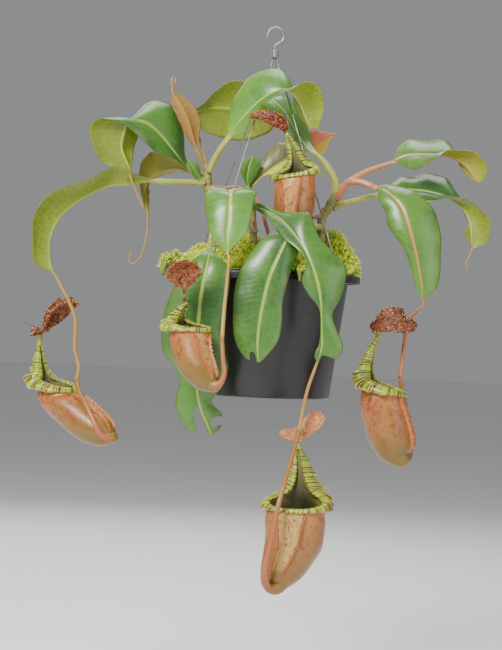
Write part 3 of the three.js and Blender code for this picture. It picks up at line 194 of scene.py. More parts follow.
def finish_material(shader, colour, rough, bump, strength, depth, **fixed):
    """Links what varies over the surface and sets what doesn't; depth is the bump's, in metres."""
    normal = bump.node("ShaderNodeBump", {"Strength": strength, "Distance": depth, "Height": bump})
    for socket, name in ((colour, "Base Color"), (rough, "Roughness"), (normal, "Normal")):
        socket.tree.links.new(socket.out, shader.inputs[name])
    for name, value in fixed.items():
        shader.inputs[name.replace("_", " ")].default_value = value


def pot_plastic():
    """Dusty black plastic with faint scuffs and streaks."""
    material, shader, where, u, v = new_material("black_pot_plastic")
    fine = where.fine(900.0, 2.0)
    cloud = where.fine(14.0, 3.0)
    streak = where.stretched(1.0, 1.0, 0.06).fine(120.0, 3.0)
    scuff = where.stretched(1.0, 1.0, 2.4).fine(48.0, 5.0, 0.7).rise(0.6, 0.78)
    dust = (cloud * 0.6 + streak * 0.4).rise(0.45, 0.75)
    colour = (dust * 0.5).blend((0.008, 0.009, 0.009), (0.028, 0.028, 0.026))
    colour = (scuff * 0.4).blend(colour, (0.09, 0.09, 0.085))
    rough = dust * 0.2 + scuff * 0.22 + 0.3
    height = fine * 0.25 - scuff * 0.5 + streak * 0.3
    finish_material(shader, colour, rough, height, 0.25, 0.0003)
    return material


def unit(vectors):
    """The vectors, made 1 long."""
    return vectors / np.maximum(np.linalg.norm(vectors, axis=-1, keepdims=True), 1e-9)


def rounded(profile, radii, steps=3):
    """A profile of [radius, z] with its corners rounded."""
    out = []
    for i, (corner, radius) in enumerate(zip(profile, radii)):
        if radius == 0:
            out.append(corner)
            continue
        corner = np.array(corner, float)
        before, after = np.array(profile[i - 1]), np.array(profile[(i + 1) % len(profile)])
        start = corner + radius * unit(before - corner)
        end = corner + radius * unit(after - corner)
        for t in np.linspace(0, 1, steps + 1):
            out.append(start * (1 - t) ** 2 + corner * 2 * t * (1 - t) + end * t**2)
    return np.array(out, float)


def turned_rings(profile, sides):
    """Level rings round the pot's axis, one for each [radius, z]."""
    turn = 2 * np.pi * np.arange(sides) / sides
    circle = np.stack([np.cos(turn), np.sin(turn), np.zeros(sides)], axis=1)
    return np.array([circle * radius + (0, 0, z) for radius, z in profile])


def skin(rings, closed=False, caps=True, wrap=True):
    """Points and faces over rows of rings. Wrap closes each ring on itself; closed joins the last
    ring to the first; caps close the ends with fans, whose middles are the last points."""
    rings = np.asarray(rings, float)
    rows, count = rings.shape[:2]
    points = rings.reshape(-1, 3).tolist()
    spans = rows if closed else rows - 1
    faces = []
    for i in range(spans):
        near, far = i * count, ((i + 1) % rows) * count
        for k in range(count if wrap else count - 1):
            n = (k + 1) % count
            faces.append((near + k, near + n, far + n, far + k))
    if caps and not closed:
        for ring, first, forward in ((rings[0], 0, False), (rings[-1], (rows - 1) * count, True)):
            points.append(ring.mean(axis=0).tolist())
            middle = len(points) - 1
            for k in range(count):
                n = (k + 1) % count
                side = (first + k, first + n) if forward else (first + n, first + k)
                faces.append((middle, *side))
    # Faces look outward: a closed skin holds a positive volume.
    corner = np.array(points)
    fans = np.array([(face[0], face[k], face[k + 1]) for face in faces for k in range(1, len(face) - 1)])
    a, b, c = corner[fans[:, 0]], corner[fans[:, 1]], corner[fans[:, 2]]
    if np.einsum("ij,ij->", a, np.cross(b, c)) < 0:
        faces = [face[::-1] for face in faces]
    return points, faces


def plain_object(name, points, faces, uv=None, smooth=True):
    """An object from points in mm and faces; uv has a row for each point."""
    mesh = bpy.data.meshes.new(name)
    mesh.from_pydata((np.asarray(points) * MM).tolist(), [], [list(map(int, face)) for face in faces])
    if uv is not None:
        layer = mesh.uv_layers.new(name="leaf")
        corner = np.zeros(len(mesh.loops), int)
        mesh.loops.foreach_get("vertex_index", corner)
        layer.data.foreach_set("uv", np.asarray(uv, float)[corner].ravel())
    mesh.polygons.foreach_set("use_smooth", [smooth] * len(mesh.polygons))
    made = bpy.data.objects.new(name, mesh)
    scene.collection.objects.link(made)
    return made


def placed(piece, stands_for=()):
    """Lets a piece ride on the part and replace the nodes it stands for."""
    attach(piece, "root")
    if stands_for:
        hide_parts(*stands_for)
    return piece


def make_piece(name, points, faces, material, uv=None, stands_for=()):
    """Turns points in mm and faces into a smooth piece that rides on the part."""
    piece = plain_object(name, points, faces, uv)
    piece.data.materials.append(material)
    return placed(piece, stands_for)


def cut_through(piece, cutters, solver="EXACT"):
    """Cuts closed skins of [points, faces] out of a piece."""
    made = []
    for points, faces in cutters:
        cutter = plain_object("cutter", points, faces, smooth=False)
        cut = piece.modifiers.new("cut", "BOOLEAN")
        cut.operation, cut.solver, cut.object = "DIFFERENCE", solver, cutter
        made.append(cutter)
    depsgraph = bpy.context.evaluated_depsgraph_get()
    shown = bpy.data.meshes.new_from_object(piece.evaluated_get(depsgraph))
    piece.modifiers.clear()
    piece.data = shown
    for cutter in made:
        bpy.data.objects.remove(cutter)


def bore(radius, sides, circle, angle, low, high):
    """An upright round cutter on a circle round the pot's axis."""
    turn = math.radians(angle)
    rings = turned_rings([(radius, low), (radius, high)], sides)
    return skin(rings + (circle * math.cos(turn), circle * math.sin(turn), 0))


under_flange = RIM_Z - FLANGE
inside_band = RIM_RADIUS - FLANGE
pot_corners = [  # radius, z and how far the corner is rounded
    (POT_BASE_RADIUS - FOOT_WIDTH - 1, POT_BASE_Z + FOOT_HEIGHT, 0),
    (POT_BASE_RADIUS - FOOT_WIDTH, POT_BASE_Z, 0.6),
    (POT_BASE_RADIUS, POT_BASE_Z, 2.5),
    (POT_TOP_RADIUS, under_flange, 1.2),
    (inside_band, under_flange, 1.2),
    (inside_band, RIM_Z - RIM_BAND, 0.8),
    (RIM_RADIUS, RIM_Z - RIM_BAND, 0.8),
    (RIM_RADIUS, RIM_Z, 2.2),
    (POT_TOP_RADIUS - POT_WALL, RIM_Z, 0.8),
    (POT_BASE_RADIUS - POT_WALL + 0.3, POT_BASE_Z + POT_FLOOR, 2.0),
]
pot_profile = rounded([corner[:2] for corner in pot_corners], [corner[2] for corner in pot_corners])
points, faces = skin(turned_rings(pot_profile, POT_SIDES))
pot = make_piece("pot_fine", points, faces, pot_plastic(), None, ["pot"])
holes = [
    bore(DRAIN_RADIUS, 24, DRAIN_CIRCLE, angle, POT_BASE_Z - 2, POT_BASE_Z + 5) for angle in DRAIN_ANGLES
] + [
    bore(WIRE_HOLE_RADIUS, 16, WIRE_CIRCLE, angle, under_flange - 2, RIM_Z + 2)
    for angle in WIRE_ANGLES.values()
]
cut_through(pot, holes)
pot.data.polygons.foreach_set("use_smooth", [True] * len(pot.data.polygons))
pot.data.set_sharp_from_angle(angle=math.radians(SHARP_ABOVE))

# ---------------------------------------------------------------- growing mix
# Bark chips, fibre and grit that fill the pot, tipped in loose and settled by watering. Only
# its underside shows, through the drain holes, so the solid stays and takes the material.

mix_material, shader, where, u, v = new_material("bark_and_grit")
chips = where.node("ShaderNodeTexVoronoi", {"Vector": where, "Scale": 140.0}, 1)
crumbs = where.fine(300.0, 4.0)
colour = crumbs.rise(0.3, 0.7).blend((0.035, 0.02, 0.012), (0.16, 0.09, 0.045))
colour = (chips.node("ShaderNodeSeparateColor", {0: chips}) * 0.5).blend(colour, (0.24, 0.15, 0.08))
finish_material(shader, colour, crumbs * 0.2 + 0.75, crumbs, 0.8, 0.0015)
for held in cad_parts["growing_mix"].material_slots:
    held.material = mix_material

# ---------------------------------------------------------------- moss
# A living mound of feathery moss over the mix, swollen between the stems and spilling over
# the rim in three places. It grew there: one soft bed under thousands of small leafy shoots.

SEED = 20417
MOSS_RADIUS = 117
MOSS_PLUG_RADIUS = 105.5
MOSS_PLUG_DEPTH = 15.7
MOSS_HEIGHT = 17  # over the rim in the middle
MOSS_FALL = 12  # from the middle to the edge
MOSS_EDGE_LIFT = 0.6
BED_SINK = 3  # how far the bed lies under the shoots' tips
BED_SIDES = 96
BED_RINGS = 44
BED_LEVEL = 0.4  # how far up a shoot the bed's colour is read
MOSS_SWELLS = [  # x, y, height and spread
    (-80, 72, 28, 26), (-25, 10, 31, 30), (84, 12, 48, 24),
    (-96, -30, 10, 22), (30, -92, 8, 22), (40, 80, 16, 26),
]
MOSS_TONGUES = [  # lines of x, y, z and radius over the rim
    [
        (-104, -28, -312, 9), (-119, -33, -307, 9.5), (-128, -36, -312, 8), (-131, -37, -320, 5.5),
        (-131, -38, -328, 2),
    ],
    [(-110, -10, -312, 7), (-123, -14, -309, 7), (-129, -16, -315, 5), (-130, -17, -322, 2)],
    [
        (38, -104, -312, 7), (41, -117, -309, 7), (42, -125, -314, 5.5), (43, -127, -322, 3.6),
        (43, -127, -329, 1.5),
    ],
]
TONGUE_CORE = 0.72  # the bed's share of a tongue's radius
SHOOTS_PER_SQUARE_METRE = 118000.0
SHOOT_HEIGHT = 6.5
SHOOT_LEAVES = 7
SHOOT_LEAF_TURN = 2.4
SHOOT_LEAF_FOOT = 0.28  # half its width at the stem
SHOOT_LEAF_HALF = 0.52  # half its width in the middle


def moss_height(x, y):
    """A low dome with its swells and two sizes of lumps, flatter at the edge."""
    reach = math.hypot(x, y) / MOSS_RADIUS
    z = RIM_Z + MOSS_HEIGHT - MOSS_FALL * reach**2
    for sx, sy, height, spread in MOSS_SWELLS:
        z += height * math.exp(-((x - sx) ** 2 + (y - sy) ** 2) / (2 * spread * spread))
    lump = noise.noise(Vector((x, y, 0)) * 0.07) * 3.5 + noise.noise(Vector((x, y, 9)) * 0.22) * 1.6
    return max(z - BED_SINK + lump * (1 - 0.7 * reach**4), RIM_Z + 1)


def moss_material(name, dark, mid, light, tip):
    """Painted shade down between the shoots, towards their feet; paler in patches; v runs from a shoot's
    foot to its tips.
    """
    material, shader, where, u, v = new_material(name)
    patch = where.fine(32.0, 3.0)
    fine = where.fine(240.0, 3.0)
    colour = patch.rise(0.35, 0.68).blend(mid, light)
    colour = fine.rise(0.28, 0.5).blend(dark, colour)
    colour = v.rise(0.55, 1.0).blend(colour, tip)
    # Towards each shoot's foot the colour turns dark: painted shade down in the mat.
    colour = v.rise(0.35, 0.0).blend(colour, dark)
    finish_material(shader, colour, fine * 0.2 + 0.62, fine, 0.5, 0.0006)
    return material


# The bed under the shoots is coloured dark: painted shade between the shoots.
BED_MOSS = moss_material(
    "moss_bed", dark=(0.03, 0.06, 0.008), mid=(0.12, 0.19, 0.015), light=(0.2, 0.27, 0.02),
    tip=(0.18, 0.25, 0.02),
)
SHOOT_MOSS = moss_material(
    "moss_shoots", dark=(0.12, 0.17, 0.008), mid=(0.5, 0.6, 0.018), light=(0.7, 0.8, 0.045),
    tip=(0.85, 0.9, 0.15),
)


def eased(rows, steps):
    """Rows of points eased through their places by a Catmull-Rom curve."""
    rows = np.asarray(rows, float)
    ends = [2 * rows[:1] - rows[1:2], rows, 2 * rows[-1:] - rows[-2:-1]]
    padded = np.concatenate(ends)
    t = (np.arange(steps) / steps).reshape(-1, *([1] * (rows.ndim - 1)))
    out = []
    for i in range(len(rows) - 1):
        a, b, c, d = padded[i : i + 4]
        out.append(0.5 * (
            2 * b + (c - a) * t + (2 * a - 5 * b + 4 * c - d) * t**2 + (3 * b - a - 3 * c + d) * t**3
        ))
    out.append(rows[-1:])
    return np.concatenate(out)


def runs(line):
    """Directions along a line of points, each over both its neighbours."""
    line = np.asarray(line, float)
    padded = np.concatenate([line[:1], line, line[-1:]])
    return unit(padded[2:] - padded[:-2])


def square(direction, along):
    """A direction turned square to another, 1 long."""
    return unit(direction - along * np.dot(direction, along))


def tube_rings(rows, sides, steps):
    """Rings round a line of [x, y, z, radius]."""
    line = eased(rows, steps)
    along = runs(line[:, :3])
    side = square(np.array([0.31, 0.9, 0.17]), along[0])
    turn = -2 * np.pi * np.arange(sides) / sides
    rings = []
    for place, direction in zip(line, along):
        side = square(side, direction)
        up = np.cross(side, direction)
        circle = np.outer(np.cos(turn), side) + np.outer(np.sin(turn), up)
        rings.append(place[:3] + place[3] * circle)
    return np.array(rings)


def merged(parts):
    """Joins skins, each with its points, its faces and any more rows for its points."""
    starts = np.cumsum([0] + [len(part[0]) for part in parts])
    faces = [[start + k for k in face] for start, part in zip(starts, parts) for face in part[1]]
    points, *more = [np.concatenate(rows) for rows in zip(*[part[:1] + part[2:] for part in parts])]
    return points, faces, *more


plug = [(MOSS_PLUG_RADIUS, RIM_Z - MOSS_PLUG_DEPTH), (MOSS_PLUG_RADIUS, RIM_Z + MOSS_EDGE_LIFT)]
rings = [*turned_rings(plug, BED_SIDES)]
for share in [1.01, *np.linspace(1, 0.02, BED_RINGS)]:
    ring = turned_rings([(MOSS_RADIUS * share, 0)], BED_SIDES)[0]
    ring[:, 2] = [RIM_Z + MOSS_EDGE_LIFT if share > 1 else moss_height(x, y) for x, y, _ in ring]
    rings.append(ring)
bed_skins = [skin(rings)]
for rows in MOSS_TONGUES:
    bed_skins.append(skin(tube_rings([(x, y, z, r * TONGUE_CORE) for x, y, z, r in rows], 14, 6)))
points, faces = merged(bed_skins)
bed_uv = np.tile((0.0, BED_LEVEL), (len(points), 1))
bed = make_piece("moss_bed", points, faces, BED_MOSS, bed_uv, ["moss"])


def shoot_object(name, lean, seed):
    """One shoot: small pointed leaves in a loose rosette up a stem."""
    rng = np.random.default_rng(seed)
    points, faces, uv = [], [], []
    for leaflet in range(SHOOT_LEAVES):
        turn = leaflet * SHOOT_LEAF_TURN + rng.random()
        low = SHOOT_HEIGHT * (0.05 + 0.09 * leaflet)
        reach = SHOOT_HEIGHT * (0.5 - 0.045 * leaflet) * (0.8 + 0.4 * rng.random())
        out = np.array([math.cos(turn), math.sin(turn), 0.0])
        side = np.array([-math.sin(turn), math.cos(turn), 0.0])
        root = np.array([0, 0, low]) + out * 0.1
        mid = root + out * reach * 0.55 + (0, 0, SHOOT_HEIGHT * 0.2 * (1 + lean))
        tip = root + out * reach + (0, 0, SHOOT_HEIGHT * 0.34 * (1 + lean))
        faces.append([len(points) + k for k in range(5)])
        points += [root - side * SHOOT_LEAF_FOOT, root + side * SHOOT_LEAF_FOOT]
        points += [mid + side * SHOOT_LEAF_HALF, tip, mid - side * SHOOT_LEAF_HALF]
        level = low / SHOOT_HEIGHT
        uv += [(0, level), (0, level), (0.5, 0.4 + level * 0.5), (0.5, 1.0), (0.5, 0.4 + level * 0.5)]
    return plain_object(name, points, faces, uv, smooth=False)


def scatter_tree(name):
    """Scatters a piece over a bed: on its faces that look up enough, turned and sized at random."""
    tree = bpy.data.node_groups.new(name, "GeometryNodeTree")
    face = tree.interface
    face.new_socket("Bed", in_out="INPUT", socket_type="NodeSocketGeometry")
    for label, kind, value in (
        ("Per square metre", "NodeSocketFloat", SHOOTS_PER_SQUARE_METRE),
        ("Seed", "NodeSocketInt", SEED),
        ("Least up", "NodeSocketFloat", 0.05),
        ("Lean", "NodeSocketFloat", 0.45),
        ("Smallest", "NodeSocketFloat", 0.6),
        ("Largest", "NodeSocketFloat", 1.35),
        ("Piece", "NodeSocketObject", None),
        ("Finish", "NodeSocketMaterial", None),
    ):
        socket = face.new_socket(label, in_out="INPUT", socket_type=kind)
        if value is not None:
            socket.default_value = value
    face.new_socket("Cover", in_out="OUTPUT", socket_type="NodeSocketGeometry")

    def made(kind, values, **settings):
        node = tree.nodes.new(kind)
        for key, value in settings.items():
            setattr(node, key, value)
        for key, value in values.items():
            if isinstance(value, bpy.types.NodeSocket):
                tree.links.new(value, node.inputs[key])
            else:
                node.inputs[key].default_value = value
        return node.outputs

    given = made("NodeGroupInput", {})
    normal = made("GeometryNodeInputNormal", {})[0]
    up = made("ShaderNodeSeparateXYZ", {0: normal})[2]
    looks_up = made("FunctionNodeCompare", {0: up, 1: given["Least up"]}, operation="GREATER_THAN")[0]
    spots = made("GeometryNodeDistributePointsOnFaces", {
        "Mesh": given["Bed"], "Selection": looks_up,
        "Density": given["Per square metre"], "Seed": given["Seed"],
    })
    chance = {"Min": (-1, -1, -1), "Max": (1, 1, 1), "Seed": given["Seed"]}
    turn = made("FunctionNodeRandomValue", chance, data_type="FLOAT_VECTOR")[0]
    most = made("ShaderNodeCombineXYZ", {0: given["Lean"], 1: given["Lean"], 2: math.pi})[0]
    turned = made("ShaderNodeVectorMath", {0: turn, 1: most}, operation="MULTIPLY")[0]
    swing = {0: spots["Rotation"], 1: turned}
    tilt = made("FunctionNodeRotateRotation", swing, rotation_space="LOCAL")[0]
    span = {2: given["Smallest"], 3: given["Largest"], "Seed": given["Seed"]}
    size = made("FunctionNodeRandomValue", span, data_type="FLOAT")[1]
    piece = made("GeometryNodeObjectInfo", {"Object": given["Piece"]})["Geometry"]
    placing = {"Points": spots["Points"], "Instance": piece, "Rotation": tilt, "Scale": size}
    copies = made("GeometryNodeInstanceOnPoints", placing)[0]
    real = made("GeometryNodeRealizeInstances", {0: copies})[0]
    cover = made("GeometryNodeSetMaterial", {"Geometry": real, "Material": given["Finish"]})[0]
    made("NodeGroupOutput", {0: cover})
    return tree


def made_by_nodes(name, source, tree, values):
    """Runs a node tree over a copy of a piece and gives the plain mesh it makes."""
    worker = bpy.data.objects.new(name, source.data.copy())
    scene.collection.objects.link(worker)
    nodes = worker.modifiers.new("nodes", "NODES")
    nodes.node_group = tree
    for item in tree.interface.items_tree:
        if item.item_type == "SOCKET" and item.in_out == "INPUT" and item.name in values:
            nodes[item.identifier] = values[item.name]
    depsgraph = bpy.context.evaluated_depsgraph_get()
    shown = bpy.data.meshes.new_from_object(worker.evaluated_get(depsgraph))
    worker.modifiers.remove(nodes)
    worker.data = shown
    return worker


SCATTER = scatter_tree("scatter")
for number, lean in enumerate((0.0, 0.5)):
    shoot = shoot_object("moss_shoot", lean, SEED + number)
    values = {
        "Piece": shoot, "Finish": SHOOT_MOSS, "Seed": SEED + number,
        "Per square metre": SHOOTS_PER_SQUARE_METRE / 2,
    }
    shoots = made_by_nodes(f"moss_shoots_{number + 1}", bed, SCATTER, values)
    bpy.data.objects.remove(shoot)
    placed(shoots, ["moss"])

# ---------------------------------------------------------------- hanger
# Four thin galvanised wires bent under the rim, gathered in one collar that is crimped on
# them and on the end of a bent wire hook. The pot hangs by the hook.

WIRE_RADIUS = 0.9
WIRE_SPREAD = 2.5  # from the axis, under the collar
WIRE_FOOT = 5.5  # how far the bent foot reaches in under the rim
HOOK_WIRE_RADIUS = 1.5
HOOK_BEND = [
    (0, 0, -29), (0, 0, -22), (4, 0, -19), (8.5, 0, -15.5), (10.5, 0, -9), (7.4, 0, -1.6), (0, 0, 1.5),
    (-7.4, 0, -1.6), (-10.5, 0, -9), (-9, 0, -14.5),
]
COLLAR_BOTTOM = -38
COLLAR_TOP = -28
COLLAR_RADIUS = 4.5
COLLAR_MOUTH = 3.4
COLLAR_SIDES = 40
CRIMP_PLACE = 3.2  # from each end of the collar
CRIMP_RADIUS = 4.45
CRIMP_HIGH = 0.45
CRIMP_HALF = 0.6

wire_steel, shader, where, u, v = new_material("galvanised_wire")
spangle = where.fine(420.0, 3.0)
dull = where.fine(60.0, 3.0)
colour = spangle.rise(0.3, 0.7).blend((0.17, 0.18, 0.19), (0.36, 0.38, 0.4))
colour = (dull.rise(0.62, 0.74) * 0.6).blend(colour, (0.2, 0.13, 0.08))
finish_material(shader, colour, spangle * 0.25 + 0.28, spangle, 0.2, 0.0002, Metallic=0.85)

collar_profile = [
    (COLLAR_MOUTH, COLLAR_BOTTOM), (COLLAR_RADIUS, COLLAR_BOTTOM + 1),
    (COLLAR_RADIUS, COLLAR_TOP - 1), (COLLAR_MOUTH, COLLAR_TOP),
]
collar_profile = rounded(collar_profile, [0.3, 0.5, 0.5, 0.3], 4)
hook_skins = [
    skin(tube_rings([(*place, HOOK_WIRE_RADIUS) for place in HOOK_BEND], 20, 8)),
    skin(turned_rings(collar_profile, COLLAR_SIDES)),
]
for z in (COLLAR_BOTTOM + CRIMP_PLACE, COLLAR_TOP - CRIMP_PLACE):
    section = [
        (CRIMP_RADIUS + CRIMP_HIGH * math.cos(a), z + CRIMP_HALF * math.sin(a))
        for a in -2 * np.pi * np.arange(8) / 8
    ]
    crimp = turned_rings(section, COLLAR_SIDES).swapaxes(0, 1)
    hook_skins.append(skin(crimp, closed=True, caps=False))
points, faces = merged(hook_skins)
make_piece("hanger_hook_fine", points, faces, wire_steel, None, ["hanger_hook"])

for name, angle in WIRE_ANGLES.items():
    turn = math.radians(angle)
    top, bottom = np.array([(WIRE_SPREAD, COLLAR_BOTTOM - 0.3), (WIRE_CIRCLE - 0.6, RIM_Z + 2.6)])
    # The long straight run is divided so that easing leaves it straight.
    run = [top + (bottom - top) * t for t in (0, 0.02, 0.25, 0.5, 0.75, 0.97, 0.99)]
    foot = [
        (WIRE_CIRCLE, RIM_Z + 0.6), (WIRE_CIRCLE, under_flange - 0.2),
        (WIRE_CIRCLE - 0.5, under_flange - 1), (WIRE_CIRCLE - 1.6, under_flange - 1.2),
        (WIRE_CIRCLE - WIRE_FOOT, under_flange - 1.2),
    ]
    line = [(r * math.cos(turn), r * math.sin(turn), z, WIRE_RADIUS) for r, z in [*run, bottom, *foot]]
    points, faces = skin(tube_rings(line, 12, 3))
    node = "hanger_wire_" + name
    make_piece(node + "_fine", points, faces, wire_steel, None, [node])

# ---------------------------------------------------------------- stems
# Three short woody-green stems with leaf scars, each ending in a crown of leaf bases, and
# what died back on them: a petiole stub, a brown runner, a cut stub and a dry curl.

STEMS = {  # x, y, z and radius, from the mix to the crown
    "stem_left": [
        (-60, -6, -395, 5.5), (-66, -6, -324, 5.5), (-69, -5, -278, 5.6), (-76, -2, -233, 6),
        (-80, 0, -203, 6), (-81, 0, -188, 4.6), (-82, 0, -181, 3.6),
    ],
    "stem_right": [
        (74, -12, -389, 5.5), (73, -12, -317, 5.5), (70, -11, -267, 5.6), (71, -9, -243, 6),
        (78, -6, -230, 6.2), (85, -3, -217, 6.2), (87, -1, -209, 5),
    ],
    "stem_centre": [
        (-8, -14, -392, 4.6), (-13, -14, -321, 4.6), (-17, -13, -270, 4.6), (-21, -11, -235, 4.8),
        (-25, -8, -217, 4.6), (-26, -7, -209, 3.4),
    ],
}
STEM_BRANCHES = {
    "stem_left": [
        [(-82, 1, -185, 2.2), (-86, 4, -169, 2), (-90, 5, -154, 1.9), (-96, 5, -140, 1.4)],
        [
            (-78, -1, -207, 2.2), (-69, -5, -210, 2.2), (-56, -9, -210, 2.1), (-43, -10, -208, 2.1),
            (-33, -9, -211, 2),
        ],
    ],
    "stem_right": [[(72, -9, -242, 4.2), (64, -14, -242, 3.6), (57, -18, -244, 2.6)]],
    "stem_centre": [
        [(-19, -12, -244, 1.8), (-20, -20, -256, 1.8), (-16, -24, -265, 1.8), (-11, -24, -263, 1.5)],
    ],
}
STEM_SIDES = 24
STEM_STEPS = 12
JOINT_SWELL = 0.07  # of a stem's radius
BRANCH_SWELL = 0.03  # of a branch's radius
JOINT_WAVE = 44  # radians of the joints' wave from foot to crown
DEAD = 2.0  # u on what died back; it is 0 on living stems

stem_skin, shader, where, u, v = new_material("stem_skin")
patch = where.fine(45.0, 3.0)
fibre = where.stretched(1.0, 1.0, 0.12).fine(260.0, 3.0)
colour = (patch * 0.6 + fibre * 0.4).rise(0.36, 0.64).blend((0.16, 0.12, 0.035), (0.29, 0.27, 0.075))
colour = v.rise(0.9, 1.0).blend(colour, (0.26, 0.26, 0.08))
dead = fibre.rise(0.35, 0.65).blend((0.2, 0.1, 0.05), (0.36, 0.2, 0.1))
colour = u.rise(1.4, 1.6).blend(colour, dead)
scars = (v * 110.0).sine().rise(0.86, 0.99) * u.rise(1.6, 1.4)
colour = (scars * 0.6).blend(colour, (0.1, 0.06, 0.03))
finish_material(shader, colour, fibre * 0.3 + 0.42, fibre * 0.8 - scars * 0.6, 0.45, 0.0007)


def uneven(rings, height, fineness):
    """Moves the points of rings in and out by a smooth noise, as grown."""
    for ring in rings:
        for k, point in enumerate(ring):
            swell = height * noise.noise(Vector(point * fineness))
            ring[k] = point + swell * unit(point - ring.mean(axis=0))


for name, rows in STEMS.items():
    parts = []
    for kind, line in [(0.0, rows)] + [(DEAD, branch) for branch in STEM_BRANCHES[name]]:
        rings = tube_rings(line, STEM_SIDES, STEM_STEPS)
        middle = rings.mean(axis=1, keepdims=True)
        share = np.linspace(0, 1, len(rings))
        # Joints swell a little where old leaves sat.
        swell = BRANCH_SWELL if kind == DEAD else JOINT_SWELL
        swell = 1 + swell * np.maximum(np.sin(share * JOINT_WAVE), 0) ** 6
        rings = middle + (rings - middle) * swell[:, None, None]
        uneven(rings, height=0.25, fineness=0.25)
        points, faces = skin(rings)
        uv = np.broadcast_arrays(np.full(STEM_SIDES, kind), share[:, None])
        uv = np.stack(uv, axis=-1).reshape(-1, 2)
        parts.append((points, faces, np.concatenate([uv, [[kind, 0], [kind, 1]]])))
    points, faces, uv = merged(parts)
    make_piece(name + "_fine", points, faces, stem_skin, uv, [name])

# ---------------------------------------------------------------- leaves
# Leathery leaves, each grown in one piece: a stout petiole, a glossy blade with a pale midrib
# that stands out underneath, and a midrib that runs on as a tendril. The rows are those of
# the solids, in millimetres; the surface is eased through them.

